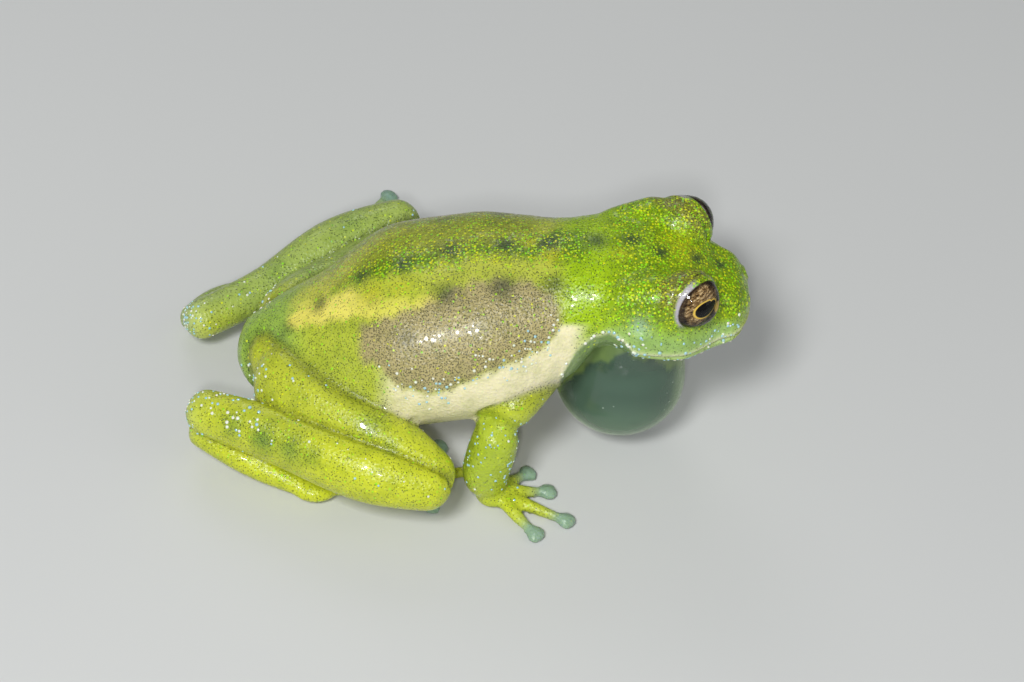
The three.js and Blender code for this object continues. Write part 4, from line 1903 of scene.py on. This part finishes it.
@dataclass
class Tubercles:
    """Small pale warts scattered over some regions of the skin."""

    skin: Skin
    seed: int = 11
    bluish: Triple = (0.42, 0.66, 0.72)
    cream: Triple = (0.86, 0.86, 0.72)

    def _chosen(self) -> tuple[Array, Array, Array]:
        """Draws the warts' places, no two of a region in one small cell, and their sizes and tints.

        Returns:
            The skin's point under each wart, the wart's radius, and whether it is bluish.
        """
        rng = np.random.default_rng(self.seed)
        places, sizes, tints = [], [], []
        for name, kind in WARTS.items():
            mask = np.clip(self.skin.masks[name], 0.0, None) ** 2
            drawn = rng.choice(len(mask), size=kind.count * 3, replace=False, p=mask / mask.sum())
            cell = np.floor(self.skin.points[drawn] / (kind.large * 2.6)).astype(int)
            _, first = np.unique(cell, axis=0, return_index=True)
            drawn = drawn[np.sort(first)][: kind.count]
            places.append(drawn)
            sizes.append(rng.uniform(kind.small, kind.large, len(drawn)))
            tints.append(rng.random(len(drawn)) < kind.bluish)
        return np.concatenate(places), np.concatenate(sizes), np.concatenate(tints)

    def build(self, shift: Array) -> bpy.types.Object:
        """Copies one small dome onto each chosen point: p = point + size * (x side + y ahead + z out).

        Args:
            shift: The row frame's place of the frog's origin, in millimetres.

        Returns:
            The piece, all the warts in one.
        """
        index, size, is_bluish = self._chosen()
        dome = ball((0.0, 0.0, 0.0), 1.0, (1.0, 1.0, 0.6), sides=8)
        out = self.skin.outward[index]
        side = unit(np.cross(out, np.where(np.abs(out[:, :1]) < 0.9, [[1.0, 0.0, 0.0]], [[0.0, 1.0, 0.0]])))
        ahead = np.cross(out, side)
        local = dome.points[None] * size[:, None, None]
        points = self.skin.points[index][:, None]
        for k, direction in enumerate((side, ahead, out)):
            points = points + local[..., k : k + 1] * direction[:, None]
        faces = dome.faces[None] + (np.arange(len(index)) * len(dome.points))[:, None, None]
        made = new_object("tubercles", Surface(points.reshape(-1, 3), faces.reshape(-1, 4)))
        tint = np.where(is_bluish[:, None], [self.bluish], [self.cream])
        store(made.data, "tint", np.repeat(tint, len(dome.points), axis=0), Stored.COLOUR)
        settle(made, shift, TubercleFinish().material())
        return made


@dataclass
class VocalSac:
    """The air-filled sac under the throat. The collar is the line over which it has the throat's green.

    The collar's rows are (across, up) on the chart. The ring is the paler edge, a painted rim sheen, outside
    an oval round ring_across that reaches from the first to the last height of ring_up.
    """

    collar: tuple[tuple[float, float], ...] = (
        (4.6, 0.2),
        (4.9, 1.3),
        (5.35, 1.85),
        (5.9, 2.3),
        (6.6, 2.45),
        (7.4, 2.85),
        (8.5, 2.65),
        (10.1, 2.2),
        (10.6, 2.1),
    )
    ring_across: float = 7.5
    ring_up: tuple[float, float] = (1.5, 3.2)
    ring_edge: tuple[float, float] = (2.35, 3.0)

    def build(self, shift: Array) -> bpy.types.Object:
        """Makes the film, and stores where its collar, its pale foot and its ring lie.

        Args:
            shift: The row frame's place of the frog's origin, in millimetres.

        Returns:
            The piece.
        """
        made = new_object("sac", SAC.surface())
        across, up = chart(points_of(made.data))
        line = np.interp(across, *np.array(self.collar).T)
        ragged = 0.12 * np.sin(4.7 * across) + 0.07 * np.sin(11.0 * across + 1.0)
        strength = 0.55 + 0.45 * ramp(across, 6.5, 5.0)
        store(made.data, "collar", ramp(up - line + ragged, -0.12, 0.12) * strength)
        store(made.data, "low", 1.0 - ramp(up, -1.0, 0.9))
        away = np.hypot(across - self.ring_across, up - np.clip(up, *self.ring_up))
        # The ring: where the painted rim sheen lies.
        store(made.data, "ring", ramp(away, *self.ring_edge))
        settle(made, shift, MembraneFinish().material())
        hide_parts("vocal_sac")
        return made


def turned(right: Array, up: Array, back: Array, place: Array) -> Matrix:
    """The matrix of an object that looks along minus back.

    Args:
        right: Its local x in the scene.
        up: Its local y.
        back: Its local z.
        place: Where it is, in metres.

    Returns:
        The matrix.
    """
    matrix = np.eye(4)
    matrix[:3, :3] = np.stack([right, up, back], 1)
    matrix[:3, 3] = place
    return Matrix(matrix.tolist())


@dataclass(frozen=True)
class Lamp:
    """A square soft lamp: its place in millimetres from the frog's middle, its size in metres, its watts."""

    name: str
    place: Triple
    size: float
    power: float


# A soft key from the camera's left, a small bright lamp for the wet glints, a fill and a rim light.
LAMPS = (
    Lamp("key", (-70.0, -150.0, 200.0), 0.055, 0.44),
    Lamp("glint", (-25.0, -185.0, 165.0), 0.016, 0.14),
    Lamp("fill", (180.0, -60.0, 120.0), 0.15, 0.05),
    Lamp("rim", (-60.0, 190.0, 160.0), 0.12, 0.07),
)


@dataclass(frozen=True)
class Studio:
    """The floor, the lights and the camera. Angles are in degrees, lengths in millimetres."""

    shift: Array
    azimuth: float = -7.0
    elevation: float = 45.0
    roll: float = -8.8
    lens: float = 120.0
    sensor: float = 36.0
    distance: float = 158.0
    target: Triple = (2.0, 0.0, 5.1)
    lit: Triple = (0.0, 0.0, 5.0)
    floor_reach: float = 2000.0
    floor_tones: tuple[Triple, Triple] = ((0.62, 0.63, 0.62), (0.66, 0.67, 0.66))
    sky: Triple = (0.93, 0.96, 1.0)
    sky_strength: float = 0.16

    def camera(self) -> None:
        """Sets the camera at the photograph's viewing angle."""
        a, e, r = np.radians([self.azimuth, self.elevation, self.roll])
        back = np.array([np.sin(a) * np.cos(e), -np.cos(a) * np.cos(e), np.sin(e)])
        level = np.array([np.cos(a), np.sin(a), 0.0])
        steep = np.cross(back, level)
        right = level * np.cos(r) - steep * np.sin(r)
        up = level * np.sin(r) + steep * np.cos(r)
        data = bpy.data.cameras.new("camera")
        data.lens, data.sensor_width = self.lens, self.sensor
        data.clip_start, data.clip_end = 0.001, 20.0
        made = bpy.data.objects.new("camera", data)
        place = (np.asarray(self.target) + back * self.distance + self.shift) * MM
        made.matrix_world = turned(right, up, back, place)
        scene = bpy.context.scene
        scene.collection.objects.link(made)
        scene.camera = made
        scene.view_settings.view_transform = "Standard"

    def floor(self) -> None:
        """A plain pale floor."""
        g = Graph("floor")
        tone = g.mix(g.noise(g.millimetres(), 0.02), *self.floor_tones)
        reach = self.floor_reach * MM
        corners = [(-reach, -reach, 0.0), (reach, -reach, 0.0), (reach, reach, 0.0), (-reach, reach, 0.0)]
        mesh = bpy.data.meshes.new("floor")
        mesh.from_pydata(corners, [], [(0, 1, 2, 3)])
        mesh.materials.append(g.principled({"Base Color": tone, "Roughness": 0.85}))
        made = bpy.data.objects.new("floor", mesh)
        bpy.context.scene.collection.objects.link(made)

    def lights(self) -> None:
        """The lamps, all aimed at the frog's middle, and a pale even sky."""
        for lamp in LAMPS:
            data = bpy.data.lights.new(lamp.name, "AREA")
            data.size, data.energy = lamp.size, lamp.power
            made = bpy.data.objects.new(lamp.name, data)
            place = np.asarray(lamp.place)
            back = unit(place)
            right = unit(np.cross((0.0, 0.0, 1.0), back))
            place = (place + np.asarray(self.lit) + self.shift) * MM
            made.matrix_world = turned(right, np.cross(back, right), back, place)
            bpy.context.scene.collection.objects.link(made)
        world = bpy.data.worlds.new("studio")
        world.use_nodes = True
        sky = world.node_tree.nodes["Background"].inputs
        sky["Color"].default_value = (*self.sky, 1.0)
        sky["Strength"].default_value = self.sky_strength
        bpy.context.scene.world = world


def main() -> None:
    """Builds every piece in order."""
    logging.basicConfig(level=logging.INFO, format="%(name)s: %(message)s")
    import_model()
    low, high = (np.asarray(corner, float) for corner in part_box("eye_right"))
    shift = (low + high) / 2.0 / MM - np.asarray(EYE_SOLID)
    studio = Studio(shift)
    studio.camera()
    studio.floor()
    studio.lights()
    skin = Skin()
    skin.build(shift)
    for side in Side:
        eye = Eye(side)
        eye.iris(shift)
        eye.cornea(shift)
    VocalSac().build(shift)
    Tubercles(skin).build(shift)


if __name__ == "__main__":
    main()
